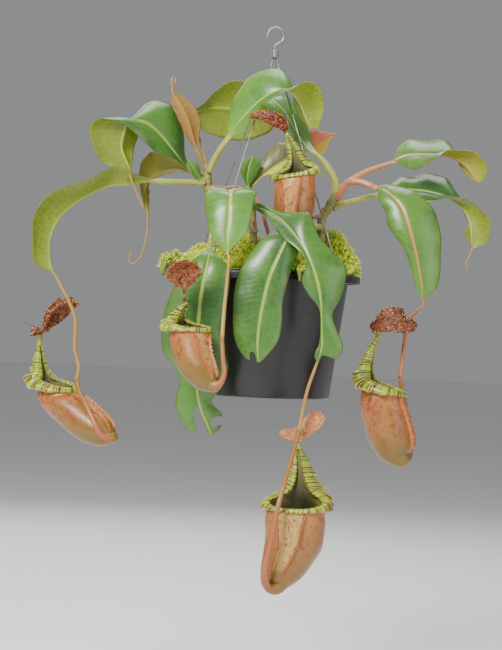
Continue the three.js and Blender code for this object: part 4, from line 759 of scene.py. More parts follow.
# Petiole and tendril: x, y, z and radius. Blade: points of the midrib, left and right margin.
LEAVES = {
    "leaf_left_long": {
        "petiole": [
            [-83, -4, -205, 4.4], [-103, -7, -205, 4], [-131, -13, -206, 4], [-146, -16, -206, 3.6],
        ],
        "blade": [
            [[-156, -18, -207], [-156, -22, -203], [-157, -13, -205]],
            [[-182, -25, -212], [-179, -38, -197], [-181, -6, -201]],
            [[-208, -30, -217], [-202, -48, -193], [-208, 8, -198]],
            [[-232, -35, -229], [-229, -58, -210], [-236, 12, -212]],
            [[-254, -40, -246], [-258, -66, -220], [-264, 10, -225]],
            [[-270, -45, -267], [-287, -72, -240], [-287, 5, -246]],
            [[-277, -50, -293], [-297, -74, -266], [-296, 0, -275]],
            [[-276, -54, -312], [-297, -71, -304], [-294, -10, -305]],
            [[-273, -56, -324], [-291, -65, -323], [-286, -34, -324]],
            [[-270, -57, -331], [-273, -59, -330], [-271, -54, -331]],
        ],
        "tendril": [
            [-263, -58, -341, 2], [-249, -60, -365, 2.2], [-239, -60, -390, 2.5], [-238, -60, -426, 2.6],
            [-232, -62, -448, 2.7], [-233, -76, -466, 2.8],
        ],
    },
    "leaf_left_upper": {
        "petiole": [
            [-83, -2, -202, 4], [-94, -2, -197, 3.6],
        ],
        "blade": [
            [[-105, -3, -189], [-107, -6, -189], [-102, 1, -187]],
            [[-117, -9, -176], [-122, -19, -177], [-112, 6, -165]],
            [[-130, -18, -162], [-142, -36, -172], [-115, 4, -134]],
            [[-145, -30, -146], [-158, -50, -162], [-130, -4, -107]],
            [[-160, -42, -135], [-175, -62, -147], [-149, -10, -101]],
            [[-174, -50, -132], [-197, -74, -135], [-167, -18, -110]],
            [[-183, -52, -134], [-217, -77, -134], [-173, -24, -130]],
            [[-188, -50, -148], [-231, -71, -143], [-172, -26, -151]],
            [[-191, -44, -165], [-227, -61, -165], [-177, -27, -169]],
            [[-185, -38, -182], [-214, -48, -188], [-177, -28, -183]],
            [[-180, -35, -193], [-186, -38, -195], [-178, -32, -192]],
        ],
        "tendril": [
            [-177, -31, -207, 1.8], [-169, -27, -224, 1.6], [-160, -24, -243, 1.3],
        ],
    },
    "leaf_left_back": {
        "petiole": [
            [-82, 2, -197, 3.4], [-93, 12, -192, 2.8],
        ],
        "blade": [
            [[-104, 18, -190], [-104, 15, -187], [-104, 22, -192]],
            [[-117, 22, -186], [-117, 14, -177], [-118, 34, -188]],
            [[-133, 26, -187], [-139, 12, -170], [-133, 44, -192]],
            [[-147, 26, -194], [-156, 10, -167], [-149, 48, -198]],
            [[-157, 24, -202], [-167, 6, -181], [-158, 46, -206]],
            [[-162, 20, -213], [-170, 6, -200], [-157, 36, -214]],
            [[-161, 16, -225], [-167, 8, -216], [-156, 26, -223]],
            [[-158, 10, -241], [-161, 8, -238], [-155, 13, -240]],
        ],
        "tendril": [
            [-156, 8, -250, 1.5], [-156, 4, -274, 1.4], [-160, 0, -298, 1.2], [-165, -2, -308, 1.1],
            [-172, -3, -314, 1.1], [-177, -3, -309, 1], [-175, -2, -299, 1],
        ],
    },
    "leaf_left_small": {
        "petiole": [
            [-83, -8, -206, 1.8],
        ],
        "blade": [
            [[-88, -9, -201], [-90, -11, -202], [-87, -7, -200]],
            [[-94, -13, -195], [-99, -17, -197], [-89, -9, -191]],
            [[-99, -17, -188], [-105, -22, -189], [-92, -12, -183]],
            [[-103, -19, -181], [-108, -22, -183], [-96, -15, -179]],
            [[-105, -19, -178], [-106, -20, -179], [-103, -18, -177]],
        ],
        "tendril": [],
    },
    "leaf_left_young": {
        "petiole": [
            [-83, 3, -190, 2.8], [-87, 1, -179, 2.8], [-93, -3, -167, 2.4],
        ],
        "blade": [
            [[-97, -5, -159], [-94, -3, -158], [-100, -7, -159]],
            [[-102, -9, -145], [-93, 0, -137], [-109, -14, -148]],
            [[-108, -12, -127], [-93, 1, -122], [-117, -18, -132]],
            [[-116, -14, -111], [-101, -2, -107], [-126, -20, -115]],
            [[-124, -14, -99], [-114, -6, -96], [-132, -18, -102]],
            [[-130, -14, -89], [-128, -12, -88], [-132, -16, -91]],
        ],
        "tendril": [
            [-131, -14, -83, 1.3], [-132, -14, -77, 1.3], [-131, -13, -71, 1.2], [-127, -12, -72, 1.1],
            [-128, -12, -78, 1.1],
        ],
    },
    "leaf_top": {
        "petiole": [
            [-79, -6, -190, 4.4], [-73, -11, -176, 4], [-64, -16, -159, 3.7],
        ],
        "blade": [
            [[-53, -22, -142], [-56, -21, -140], [-49, -24, -144]],
            [[-44, -26, -128], [-57, -18, -128], [-35, -34, -139]],
            [[-33, -32, -115], [-53, -14, -103], [-27, -43, -123]],
            [[-19, -38, -101], [-42, -14, -79], [-14, -52, -106]],
            [[-4, -44, -90], [-26, -18, -63], [0, -60, -95]],
            [[10, -46, -84], [-4, -20, -54], [13, -64, -88]],
            [[20, -44, -85], [14, -22, -59], [28, -66, -81]],
            [[28, -38, -91], [24, -18, -77], [45, -62, -73]],
            [[35, -30, -100], [27, -4, -91], [59, -50, -81]],
            [[42, -22, -114], [34, 6, -111], [65, -38, -95]],
            [[48, -18, -124], [43, 4, -120], [64, -28, -116]],
            [[52, -16, -129], [50, -14, -129], [60, -20, -128]],
        ],
        "tendril": [],
    },
    "leaf_back_arching": {
        "petiole": [
            [83, -3, -223, 5.2], [88, 2, -210, 5.4], [86, 12, -193, 5.4], [75, 22, -174, 5],
            [63, 30, -162, 4.4],
        ],
        "blade": [
            [[53, 37, -151], [49, 33, -156], [57, 40, -149]],
            [[41, 45, -139], [30, 46, -150], [55, 51, -141]],
            [[28, 50, -120], [17, 40, -131], [47, 58, -120]],
            [[14, 52, -100], [4, 38, -111], [33, 66, -96]], [[-4, 56, -86], [-12, 38, -98], [16, 74, -81]],
            [[-22, 62, -84], [-28, 38, -77], [2, 84, -122]],
            [[-38, 70, -90], [-39, 46, -65], [-17, 84, -135]],
            [[-53, 74, -99], [-61, 50, -67], [-44, 84, -141]],
            [[-72, 74, -99], [-77, 54, -80], [-66, 80, -138]],
            [[-88, 70, -101], [-89, 58, -94], [-87, 74, -132]],
            [[-101, 64, -107], [-101, 60, -103], [-102, 66, -123]],
            [[-108, 60, -113], [-108, 59, -111], [-107, 61, -117]],
        ],
        "tendril": [],
    },
    "leaf_right_young": {
        "petiole": [
            [84, 4, -220, 2.6], [85, 13, -213, 2.6], [84, 32, -189, 2.6], [74, 46, -168, 2.6],
            [60, 54, -155, 2.4],
        ],
        "blade": [
            [[48, 58, -150], [46, 58, -148], [50, 59, -153]],
            [[53, 59, -147], [43, 62, -133], [59, 62, -155]],
            [[62, 58, -143], [55, 58, -125], [69, 64, -156]],
            [[71, 56, -138], [65, 52, -126], [76, 62, -147]],
            [[78, 54, -133], [75, 51, -128], [78, 57, -137]],
            [[83, 52, -130], [83, 51, -128], [84, 53, -131]],
        ],
        "tendril": [
            [89, 51, -128, 1.5],
        ],
    },
    "leaf_centre_back": {
        "petiole": [
            [-25, -4, -211, 2.4],
        ],
        "blade": [
            [[-23, -6, -206], [-25, -6, -205], [-21, -6, -207]],
            [[-15, -6, -198], [-19, -4, -191], [-11, -10, -196]],
            [[-6, -5, -189], [-12, 0, -175], [-2, -14, -191]],
            [[5, -4, -180], [-3, 4, -160], [10, -16, -191]],
            [[17, -2, -171], [11, 6, -148], [22, -14, -186]],
            [[27, 0, -165], [23, 6, -148], [30, -8, -175]], [[35, 2, -160], [33, 3, -157], [36, 1, -163]],
        ],
        "tendril": [],
    },
    "leaf_centre_small": {
        "petiole": [
            [-26, -10, -215, 1.8],
        ],
        "blade": [
            [[-27, -11, -207], [-29, -11, -207], [-25, -11, -206]],
            [[-29, -14, -197], [-35, -16, -196], [-21, -12, -198]],
            [[-28, -17, -186], [-39, -20, -187], [-15, -14, -187]],
            [[-26, -18, -176], [-36, -21, -175], [-12, -15, -174]],
            [[-24, -18, -169], [-29, -19, -169], [-18, -17, -169]],
        ],
        "tendril": [],
    },
    "leaf_front_left": {
        "petiole": [
            [-78, -3, -212, 3.8], [-75, -14, -213, 3.7], [-70, -40, -216, 3.4], [-62, -68, -219, 3.2],
        ],
        "blade": [
            [[-56, -86, -219], [-50, -86, -219], [-61, -86, -220]],
            [[-52, -101, -219], [-33, -98, -218], [-70, -98, -221]],
            [[-49, -118, -220], [-20, -112, -217], [-78, -110, -222]],
            [[-47, -134, -225], [-15, -124, -220], [-80, -122, -227]],
            [[-48, -143, -239], [-19, -134, -236], [-79, -132, -242]],
            [[-48, -147, -255], [-21, -141, -253], [-76, -139, -257]],
            [[-49, -150, -272], [-25, -146, -272], [-71, -144, -274]],
            [[-49, -152, -286], [-36, -150, -285], [-61, -149, -287]],
            [[-48, -153, -297], [-46, -153, -297], [-51, -152, -298]],
        ],
        "tendril": [
            [-46, -154, -306, 2], [-47, -156, -332, 2.1], [-49, -160, -368, 2.5], [-50, -168, -406, 2.8],
        ],
    },
    "leaf_front_centre": {
        "petiole": [
            [67, -10, -257, 3.6], [68, -50, -257, 3.4], [61, -84, -258, 3.2],
        ],
        "blade": [
            [[48, -103, -260], [51, -104, -261], [45, -102, -260]],
            [[37, -114, -263], [48, -112, -267], [26, -112, -262]],
            [[31, -127, -269], [45, -122, -280], [14, -122, -266]],
            [[24, -134, -279], [40, -128, -293], [-4, -128, -277]],
            [[16, -138, -297], [35, -132, -308], [-21, -131, -297]],
            [[8, -141, -317], [30, -136, -323], [-32, -134, -320]],
            [[2, -142, -340], [26, -138, -341], [-37, -135, -342]],
            [[-2, -143, -363], [23, -140, -361], [-38, -136, -366]],
            [[-5, -143, -386], [23, -141, -384], [-37, -137, -390]],
            [[-6, -143, -407], [19, -141, -405], [-32, -138, -411]],
            [[-5, -143, -422], [7, -142, -422], [-20, -139, -427]],
            [[-3, -142, -432], [-1, -142, -431], [-7, -141, -432]],
        ],
        "tendril": [],
    },
    "leaf_front_right": {
        "petiole": [
            [-23, -14, -226, 3.4], [-23, -40, -230, 3.2], [-25, -62, -233, 3],
        ],
        "blade": [
            [[-22, -76, -234], [-22, -75, -230], [-22, -78, -239]],
            [[-10, -92, -238], [-8, -90, -233], [-12, -95, -243]],
            [[5, -108, -245], [11, -104, -241], [-1, -112, -251]],
            [[20, -122, -256], [32, -114, -243], [9, -125, -263]],
            [[33, -134, -271], [51, -125, -244], [20, -136, -277]],
            [[44, -143, -286], [64, -133, -272], [34, -144, -287]],
            [[51, -149, -299], [82, -137, -291], [44, -150, -296]],
            [[58, -153, -315], [99, -139, -309], [50, -153, -310]],
            [[65, -155, -333], [99, -141, -330], [45, -152, -329]],
            [[69, -154, -352], [94, -143, -349], [55, -151, -347]],
            [[71, -152, -370], [85, -145, -368], [69, -151, -363]],
            [[72, -151, -388], [91, -147, -388], [71, -150, -384]],
            [[73, -151, -404], [100, -148, -407], [70, -150, -405]],
            [[72, -151, -414], [93, -148, -423], [66, -150, -415]],
            [[71, -151, -421], [77, -150, -419], [65, -150, -422]],
            [[69, -151, -427], [71, -151, -427], [67, -151, -428]],
        ],
        "tendril": [
            [64, -151, -443, 2], [58, -151, -464, 2.1], [53, -152, -492, 2.3], [50, -156, -515, 2.5],
        ],
    },
    "leaf_front_long": {
        "petiole": [
            [-74, -5, -251, 3], [-71, -45, -257, 3], [-70, -80, -270, 2.9], [-71, -96, -283, 2.6],
        ],
        "blade": [
            [[-71, -99, -293], [-68, -99, -294], [-74, -99, -294]],
            [[-72, -111, -302], [-59, -110, -303], [-87, -107, -304]],
            [[-74, -119, -318], [-48, -116, -313], [-99, -112, -317]],
            [[-77, -122, -335], [-44, -118, -330], [-110, -114, -335]],
            [[-79, -123, -355], [-45, -119, -351], [-119, -114, -357]],
            [[-80, -123, -378], [-49, -119, -373], [-125, -114, -377]],
            [[-81, -122, -400], [-52, -119, -395], [-127, -114, -400]],
            [[-81, -121, -423], [-49, -119, -419], [-123, -114, -425]],
            [[-81, -120, -443], [-41, -118, -439], [-109, -115, -442]],
            [[-80, -119, -463], [-50, -118, -467], [-101, -115, -461]],
            [[-76, -118, -483], [-60, -117, -485], [-105, -115, -484]],
            [[-71, -117, -499], [-47, -117, -498], [-101, -115, -501]],
            [[-64, -116, -512], [-47, -116, -515], [-94, -115, -516]],
            [[-59, -116, -525], [-56, -116, -525], [-78, -115, -524]],
        ],
        "tendril": [],
    },
    "leaf_right_hanging": {
        "petiole": [
            [88, -4, -218, 4.8], [95, -10, -206, 4.8], [103, -17, -196, 4.8], [117, -24, -196, 4.2],
            [130, -30, -200, 3.8],
        ],
        "blade": [
            [[139, -35, -203], [141, -34, -200], [138, -35, -207]],
            [[147, -46, -204], [156, -40, -198], [140, -46, -210]],
            [[158, -58, -214], [176, -48, -203], [142, -54, -222]],
            [[169, -66, -228], [195, -54, -212], [150, -60, -235]],
            [[176, -71, -244], [210, -58, -228], [152, -64, -249]],
            [[182, -74, -262], [218, -60, -247], [159, -67, -261]],
            [[187, -75, -279], [222, -62, -268], [171, -69, -275]],
            [[192, -75, -298], [222, -64, -289], [182, -70, -297]],
            [[196, -74, -316], [222, -66, -311], [188, -71, -317]],
            [[199, -73, -330], [218, -68, -329], [192, -71, -331]],
            [[200, -72, -341], [204, -72, -343], [198, -72, -341]],
        ],
        "tendril": [
            [202, -70, -348, 2], [198, -62, -357, 2.1], [189, -46, -369, 2.3], [184, -40, -389, 2.5],
            [181, -40, -419, 2.7], [179, -42, -445, 2.9],
        ],
    },
    "leaf_right_low": {
        "petiole": [
            [84, -6, -231, 3.8], [97, -3, -224, 4], [119, 2, -217, 3.8], [133, 5, -212, 3.4],
        ],
        "blade": [
            [[145, 6, -208], [145, 8, -205], [145, 4, -211]],
            [[157, 8, -204], [159, 18, -194], [158, -2, -211]],
            [[174, 9, -201], [175, 26, -184], [176, -8, -214]],
            [[191, 8, -201], [191, 30, -182], [192, -14, -216]],
            [[207, 5, -203], [211, 30, -177], [209, -20, -216]],
            [[223, 1, -207], [226, 26, -180], [226, -26, -213]],
            [[237, -4, -212], [239, 20, -190], [241, -31, -210]],
            [[249, -9, -220], [248, 14, -206], [256, -33, -213]],
            [[257, -13, -230], [254, 6, -224], [274, -33, -224]],
            [[262, -16, -242], [260, 0, -240], [285, -33, -239]],
            [[264, -18, -253], [257, -4, -252], [287, -32, -254]],
            [[265, -19, -264], [259, -10, -262], [282, -29, -268]],
            [[266, -20, -270], [264, -18, -269], [272, -23, -273]],
        ],
        "tendril": [
            [266, -20, -275, 1.5], [263, -19, -284, 1.3], [259, -18, -294, 1.2], [262, -18, -300, 1.4],
        ],
    },
    "leaf_right_upper": {
        "petiole": [
            [90, 4, -208, 4.2], [102, 8, -196, 4.4], [118, 9, -185, 4.2], [132, 10, -177, 3.4],
            [147, 10, -171, 2.8],
        ],
        "blade": [
            [[162, 10, -164], [162, 12, -161], [163, 8, -167]],
            [[172, 8, -159], [167, 22, -146], [174, -4, -171]],
            [[184, 4, -156], [181, 28, -134], [186, -16, -175]],
            [[198, -2, -155], [197, 28, -134], [201, -26, -171]],
            [[212, -8, -155], [213, 22, -133], [215, -36, -160]],
            [[226, -14, -156], [228, 14, -134], [228, -42, -151]],
            [[237, -18, -159], [240, 6, -145], [245, -44, -150]],
            [[248, -20, -165], [243, -2, -160], [262, -42, -153]],
            [[256, -22, -172], [248, -8, -169], [276, -38, -164]],
            [[262, -23, -180], [254, -15, -178], [279, -33, -176]],
            [[266, -24, -186], [263, -21, -186], [275, -28, -187]],
            [[269, -24, -189], [268, -24, -189], [271, -25, -189]],
        ],
        "tendril": [],
    },
}

# Share of the way from the midrib to the margin for each column of a blade's surface.
BLADE_COLUMNS = np.array([0, 0.03, 0.07, 0.14, 0.26, 0.42, 0.6, 0.78, 0.92, 1.0])
BLADE_STEPS = 6
PILLOW = 0.09
KEEL = 1.6
RIB_WIDTH = 1.5
GROOVE = 0.5
HALF_THICK = 0.5
MARGIN_THINNER = 0.15
SMALL_BLADE = 12  # narrower halves have a shallower groove
RIPPLE = 0.9
RIPPLE_WIDTH = 50  # narrower blades ripple less
ROUND = 6.28  # radians
UNDERSIDE_U = 4  # added to u on the under side


def blade_half(rib, edge, edge_up):
    """Upper and under points of one half of a blade, midrib first."""
    width = np.linalg.norm(edge - rib)
    s = BLADE_COLUMNS[:, None]
    middle = rib + (edge - rib) * s + edge_up * (4 * PILLOW * width * s * (1 - s))
    from_rib = np.exp(-((BLADE_COLUMNS * width / RIB_WIDTH) ** 2))[:, None]
    thick = HALF_THICK - MARGIN_THINNER * s
    small = min(1.0, width / SMALL_BLADE)
    upper = middle + edge_up * (thick - GROOVE * small * from_rib)
    under = middle - edge_up * (thick + (KEEL - HALF_THICK) * from_rib)
    return upper, under


def leaf_rings(petiole, blade, tendril):
    """Rings of a leaf from its foot to its tendril's end, and which are the blade's ends."""
    line = [row[:3] for row in petiole] + [row[0] for row in blade] + [row[:3] for row in tendril]
    line = np.array(line, float)
    radii = [row[3] for row in petiole] + [0] * len(blade) + [row[3] for row in tendril]
    along = runs(line)
    first, last = len(petiole), len(petiole) + len(blade) - 1
    count = 2 * len(BLADE_COLUMNS) - 1
    rings = [None] * len(line)
    for i, (rib, left, right) in enumerate(np.array(blade, float), first):
        left_up = unit(np.cross(rib - left, along[i]))
        right_up = unit(np.cross(right - rib, along[i]))
        left_over, left_under = blade_half(rib, left, left_up)
        right_over, right_under = blade_half(rib, right, right_up)
        over = [*left_over[::-1], *right_over[1:]]
        under = [*left_under[::-1], *right_under[1:]]
        over[len(BLADE_COLUMNS) - 1] = (left_over[0] + right_over[0]) / 2
        under[len(BLADE_COLUMNS) - 1] = (left_under[0] + right_under[0]) / 2
        rings[i] = [*over, *under[::-1]]
    turn = np.pi * (1 - (np.arange(2 * count) + 0.5) / count)
    for end, stalk in ((blade[0], range(first - 1, -1, -1)), (blade[-1], range(last + 1, len(line)))):
        side = np.subtract(end[2], end[1])
        for i in stalk:
            side = square(side, along[i])
            up = np.cross(side, along[i])
            circle = np.outer(np.cos(turn), side) + np.outer(np.sin(turn), up)
            rings[i] = line[i] + radii[i] * circle
    return np.array(rings, float), first, last


def grow_leaf(name, rows, material, seed):
    """One leaf; its v is below 0 on the petiole, 0 to 1 on the blade, above 1 on the tendril."""
    rings, first, last = leaf_rings(rows["petiole"], rows["blade"], rows["tendril"])
    fine = eased(rings, BLADE_STEPS)
    steps = np.arange(len(fine)) / BLADE_STEPS
    stage = np.where(steps < first, steps / first - 1, (steps - first) / (last - first))
    beyond = max(len(rings) - 1 - last, 1)
    stage = np.where(steps > last, 1 + (steps - last) / beyond, stage)
    count = fine.shape[1] // 2
    across = np.concatenate([-BLADE_COLUMNS[::-1], BLADE_COLUMNS[1:]])
    columns = np.concatenate([across, across[::-1]])
    under = np.arange(2 * count) >= count
    # A slow ripple runs along each margin.
    width = np.linalg.norm(fine[:, 0] - fine[:, count - 1], axis=1)
    on_blade = ((stage > 0) & (stage < 1)).astype(float)
    upward = unit(np.cross(fine[:, count - 1] - fine[:, 0], runs(fine.mean(axis=1))))
    rng = np.random.default_rng(seed)
    waves = 5 + 2 * rng.random(2)
    phase = ROUND * rng.random(2)
    height = RIPPLE * np.clip(width / RIPPLE_WIDTH, 0, 1) * on_blade
    for hand in (0, 1):
        wave = np.sin(waves[hand] * ROUND * stage + phase[hand]) * height
        share = np.clip(columns if hand else -columns, 0, 1) ** 3
        fine += (wave[:, None] * share)[:, :, None] * upward[:, None, :]
    middle = fine[:, count // 2]
    run = np.concatenate([[0], np.cumsum(np.linalg.norm(np.diff(middle, axis=0), axis=1))])
    points, faces = skin(fine)
    uv = np.broadcast_arrays(columns + UNDERSIDE_U * under, stage[:, None])
    uv = np.stack(uv, axis=-1).reshape(-1, 2)
    uv = np.concatenate([uv, [uv[0] * [0, 1], uv[-1] * [0, 1]]])
    piece = make_piece(name + "_fine", points, faces, material, uv)
    # The length along the leaf, in centimetres, spaces its side veins.
    layer = piece.data.attributes.new("run", "FLOAT", "POINT")
    reach = np.concatenate([np.repeat(run, 2 * count), [run[0], run[-1]]]) / 10
    layer.data.foreach_set("value", reach)
    return piece


def leaf_material(
    name, upper, upper_dark, under, rib, petiole, tendril, margin, gloss=0.34, worn=0.25, lower=None
):
    """Blade, rib, petiole and tendril colours in one skin. Where lower is given, it is the upper
    side's colour on the half where u is above 0."""
    material, shader, where, u, v = new_material(name)
    beneath = u.rise(2.2, 2.4)
    signed = u - beneath * UNDERSIDE_U
    across = signed.size()
    run = u.node("ShaderNodeAttribute", {}, 2, attribute_name="run")
    blotch = where.fine(26.0)
    mottle = where.fine(140.0, 4.0)
    # Side veins leave the midrib aslant, about 7 mm apart; faint ones run with the margin.
    slanting = (run * 9.0 - across * 7.0 + blotch * 4.0).sine().rise(0.8, 1.0)
    lengthwise = (across * 21.0 + blotch * 5.0).sine().rise(0.86, 1.0)
    veins = slanting * 0.6 + lengthwise * 0.3
    # Broad lighter and darker patches on the upper side, between upper and upper_dark: painted sheen.
    top = (where.fine(11.0, 2.0) * 0.8 + mottle * 0.2).rise(0.38, 0.6).blend(upper_dark, upper)
    if lower:
        top = signed.rise(-0.03, 0.03).blend(top, lower)
    top = (veins * 0.1).blend(top, rib)
    low = (veins * 0.35 + mottle.rise(0.4, 0.8) * 0.3).blend(under, rib)
    blade = beneath.blend(top, low)
    on_rib = across.rise(0.075, 0.03)
    blade = (on_rib * 0.92).blend(blade, rib)
    edge = across.rise(0.955, 1.0)
    blade = (edge * 0.5).blend(blade, margin)
    # Brown specks and a dry edge here and there.
    speck = where.fine(420.0, 2.0).rise(0.69, 0.75)
    dry = (where.fine(60.0, 2.0) + across * 0.25).rise(0.82, 0.92)
    wear = (speck + dry) * worn
    blade = wear.node("ShaderNodeClamp", {0: wear}).blend(blade, margin)
    cloud = (mottle * 0.5 + blotch * 0.5).rise(0.35, 0.7)
    colour = v.rise(-0.12, 0.1).blend(cloud.blend(petiole, rib), blade)
    colour = v.rise(0.97, 1.1).blend(colour, cloud.blend(tendril, petiole))
    rough = mottle * 0.14 + beneath * 0.2 + (gloss - 0.06)
    groove = across.rise(0.05, 0.015)
    height = slanting * -0.28 + lengthwise * -0.15 + mottle * 0.6 + blotch * 1.6 - groove * 0.8
    finish_material(
        shader, colour, rough, height, 0.3, 0.0006, Coat_Roughness=0.16, Coat_Weight=0.16
    )
    return material


GREEN_LEAF = leaf_material(
    "glossy_green_leaf",
    upper=(0.065, 0.175, 0.021), upper_dark=(0.024, 0.09, 0.013), under=(0.16, 0.21, 0.005),
    rib=(0.3, 0.4, 0.05), petiole=(0.26, 0.25, 0.045), tendril=(0.4, 0.17, 0.05),
    margin=(0.16, 0.08, 0.02),
)
PALE_LEAF = leaf_material(
    "pale_green_leaf",
    upper=(0.12, 0.28, 0.034), upper_dark=(0.06, 0.18, 0.024), under=(0.21, 0.28, 0.008),
    rib=(0.4, 0.47, 0.08), petiole=(0.34, 0.31, 0.06), tendril=(0.4, 0.19, 0.05),
    margin=(0.26, 0.16, 0.04),
)
WARM_LEAF = leaf_material(
    "green_leaf_with_warm_rib",
    upper=(0.08, 0.2, 0.022), upper_dark=(0.032, 0.11, 0.014), under=(0.2, 0.25, 0.007),
    rib=(0.5, 0.2, 0.06), petiole=(0.4, 0.15, 0.07), tendril=(0.45, 0.13, 0.05),
    margin=(0.2, 0.09, 0.03),
)
OLIVE_LEAF = leaf_material(
    "olive_leaf",
    upper=(0.17, 0.19, 0.02), upper_dark=(0.085, 0.11, 0.016), under=(0.22, 0.21, 0.02),
    rib=(0.38, 0.28, 0.05), petiole=(0.28, 0.17, 0.04), tendril=(0.4, 0.22, 0.05),
    margin=(0.24, 0.1, 0.03), gloss=0.38, worn=0.4,
)
TWO_TONE_LEAF = leaf_material(
    "olive_and_lime_leaf",
    upper=(0.17, 0.17, 0.06), upper_dark=(0.1, 0.11, 0.035), under=(0.35, 0.38, 0.03),
    rib=(0.4, 0.24, 0.09), petiole=(0.28, 0.17, 0.04), tendril=(0.4, 0.22, 0.05),
    margin=(0.24, 0.12, 0.03), worn=0.3, lower=(0.4, 0.5, 0.02),
)
RED_LEAF = leaf_material(
    "unrolling_red_leaf",
    upper=(0.34, 0.08, 0.018), upper_dark=(0.18, 0.04, 0.012), under=(0.26, 0.14, 0.024),
    rib=(0.42, 0.2, 0.05), petiole=(0.26, 0.18, 0.035), tendril=(0.44, 0.2, 0.04),
    margin=(0.24, 0.04, 0.015), worn=0.2, lower=(0.26, 0.24, 0.03),
)
PINK_LEAF = leaf_material(
    "folded_pink_leaf",
    upper=(0.7, 0.2, 0.12), upper_dark=(0.5, 0.12, 0.06), under=(0.5, 0.32, 0.04),
    rib=(0.6, 0.26, 0.07), petiole=(0.36, 0.18, 0.07), tendril=(0.48, 0.17, 0.07),
    margin=(0.34, 0.1, 0.04), worn=0.15, lower=(0.6, 0.38, 0.04),
)
LEAF_FINISH = {
    "leaf_top": (PALE_LEAF, "leaf"),
    "leaf_front_left": (PALE_LEAF, "leaf"),
    "leaf_left_back": (OLIVE_LEAF, "old_leaf"),
    "leaf_centre_back": (TWO_TONE_LEAF, "old_leaf"),
    "leaf_centre_small": (PALE_LEAF, "leaf"),
    "leaf_left_small": (PALE_LEAF, "leaf"),
    "leaf_right_upper": (WARM_LEAF, "leaf"),
    "leaf_right_hanging": (WARM_LEAF, "leaf"),
    "leaf_left_young": (RED_LEAF, "old_leaf"),
    "leaf_right_young": (PINK_LEAF, "leaf"),
}

# What something ate out of two hanging blades: outlines in x and z, cut through front to back.
BITES = {
    "leaf_front_long": [
        [
            (-74, -530), (-79, -514), (-83, -499), (-80, -492), (-77, -491), (-73, -499),
            (-68, -512), (-61, -530),
        ],
        [(-38, -501), (-56, -503), (-60, -508), (-58, -516), (-49, -513), (-38, -509)],
    ],
    "leaf_front_centre": [
        [(-14, -440), (-15, -426), (-14, -420), (-10, -420), (-7, -427), (-5, -440)],
    ],
}
BITE_BACK = -90.0
BITE_FRONT = -170.0


def bite_skin(outline):
    """An eased outline as a prism that runs right through a blade."""
    closed = eased(np.array([*outline, outline[0]], float), 4)[:-1]
    return skin([[(x, y, z) for x, z in closed] for y in (BITE_BACK, BITE_FRONT)])


for number, (name, rows) in enumerate(LEAVES.items()):
    finish, slot = LEAF_FINISH.get(name, (GREEN_LEAF, "leaf"))
    leaf = grow_leaf(name, rows, finish, SEED + number)
    if name in BITES:
        cut_through(leaf, [bite_skin(outline) for outline in BITES[name]], "MANIFOLD")
    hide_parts(name)

# ---------------------------------------------------------------- pitchers
# Each pitcher is grown in three colours: the cup with its two winged ridges and the upturned
# end of its tendril, the hard ribbed lip with its tall neck, and the lid on its short stalk.

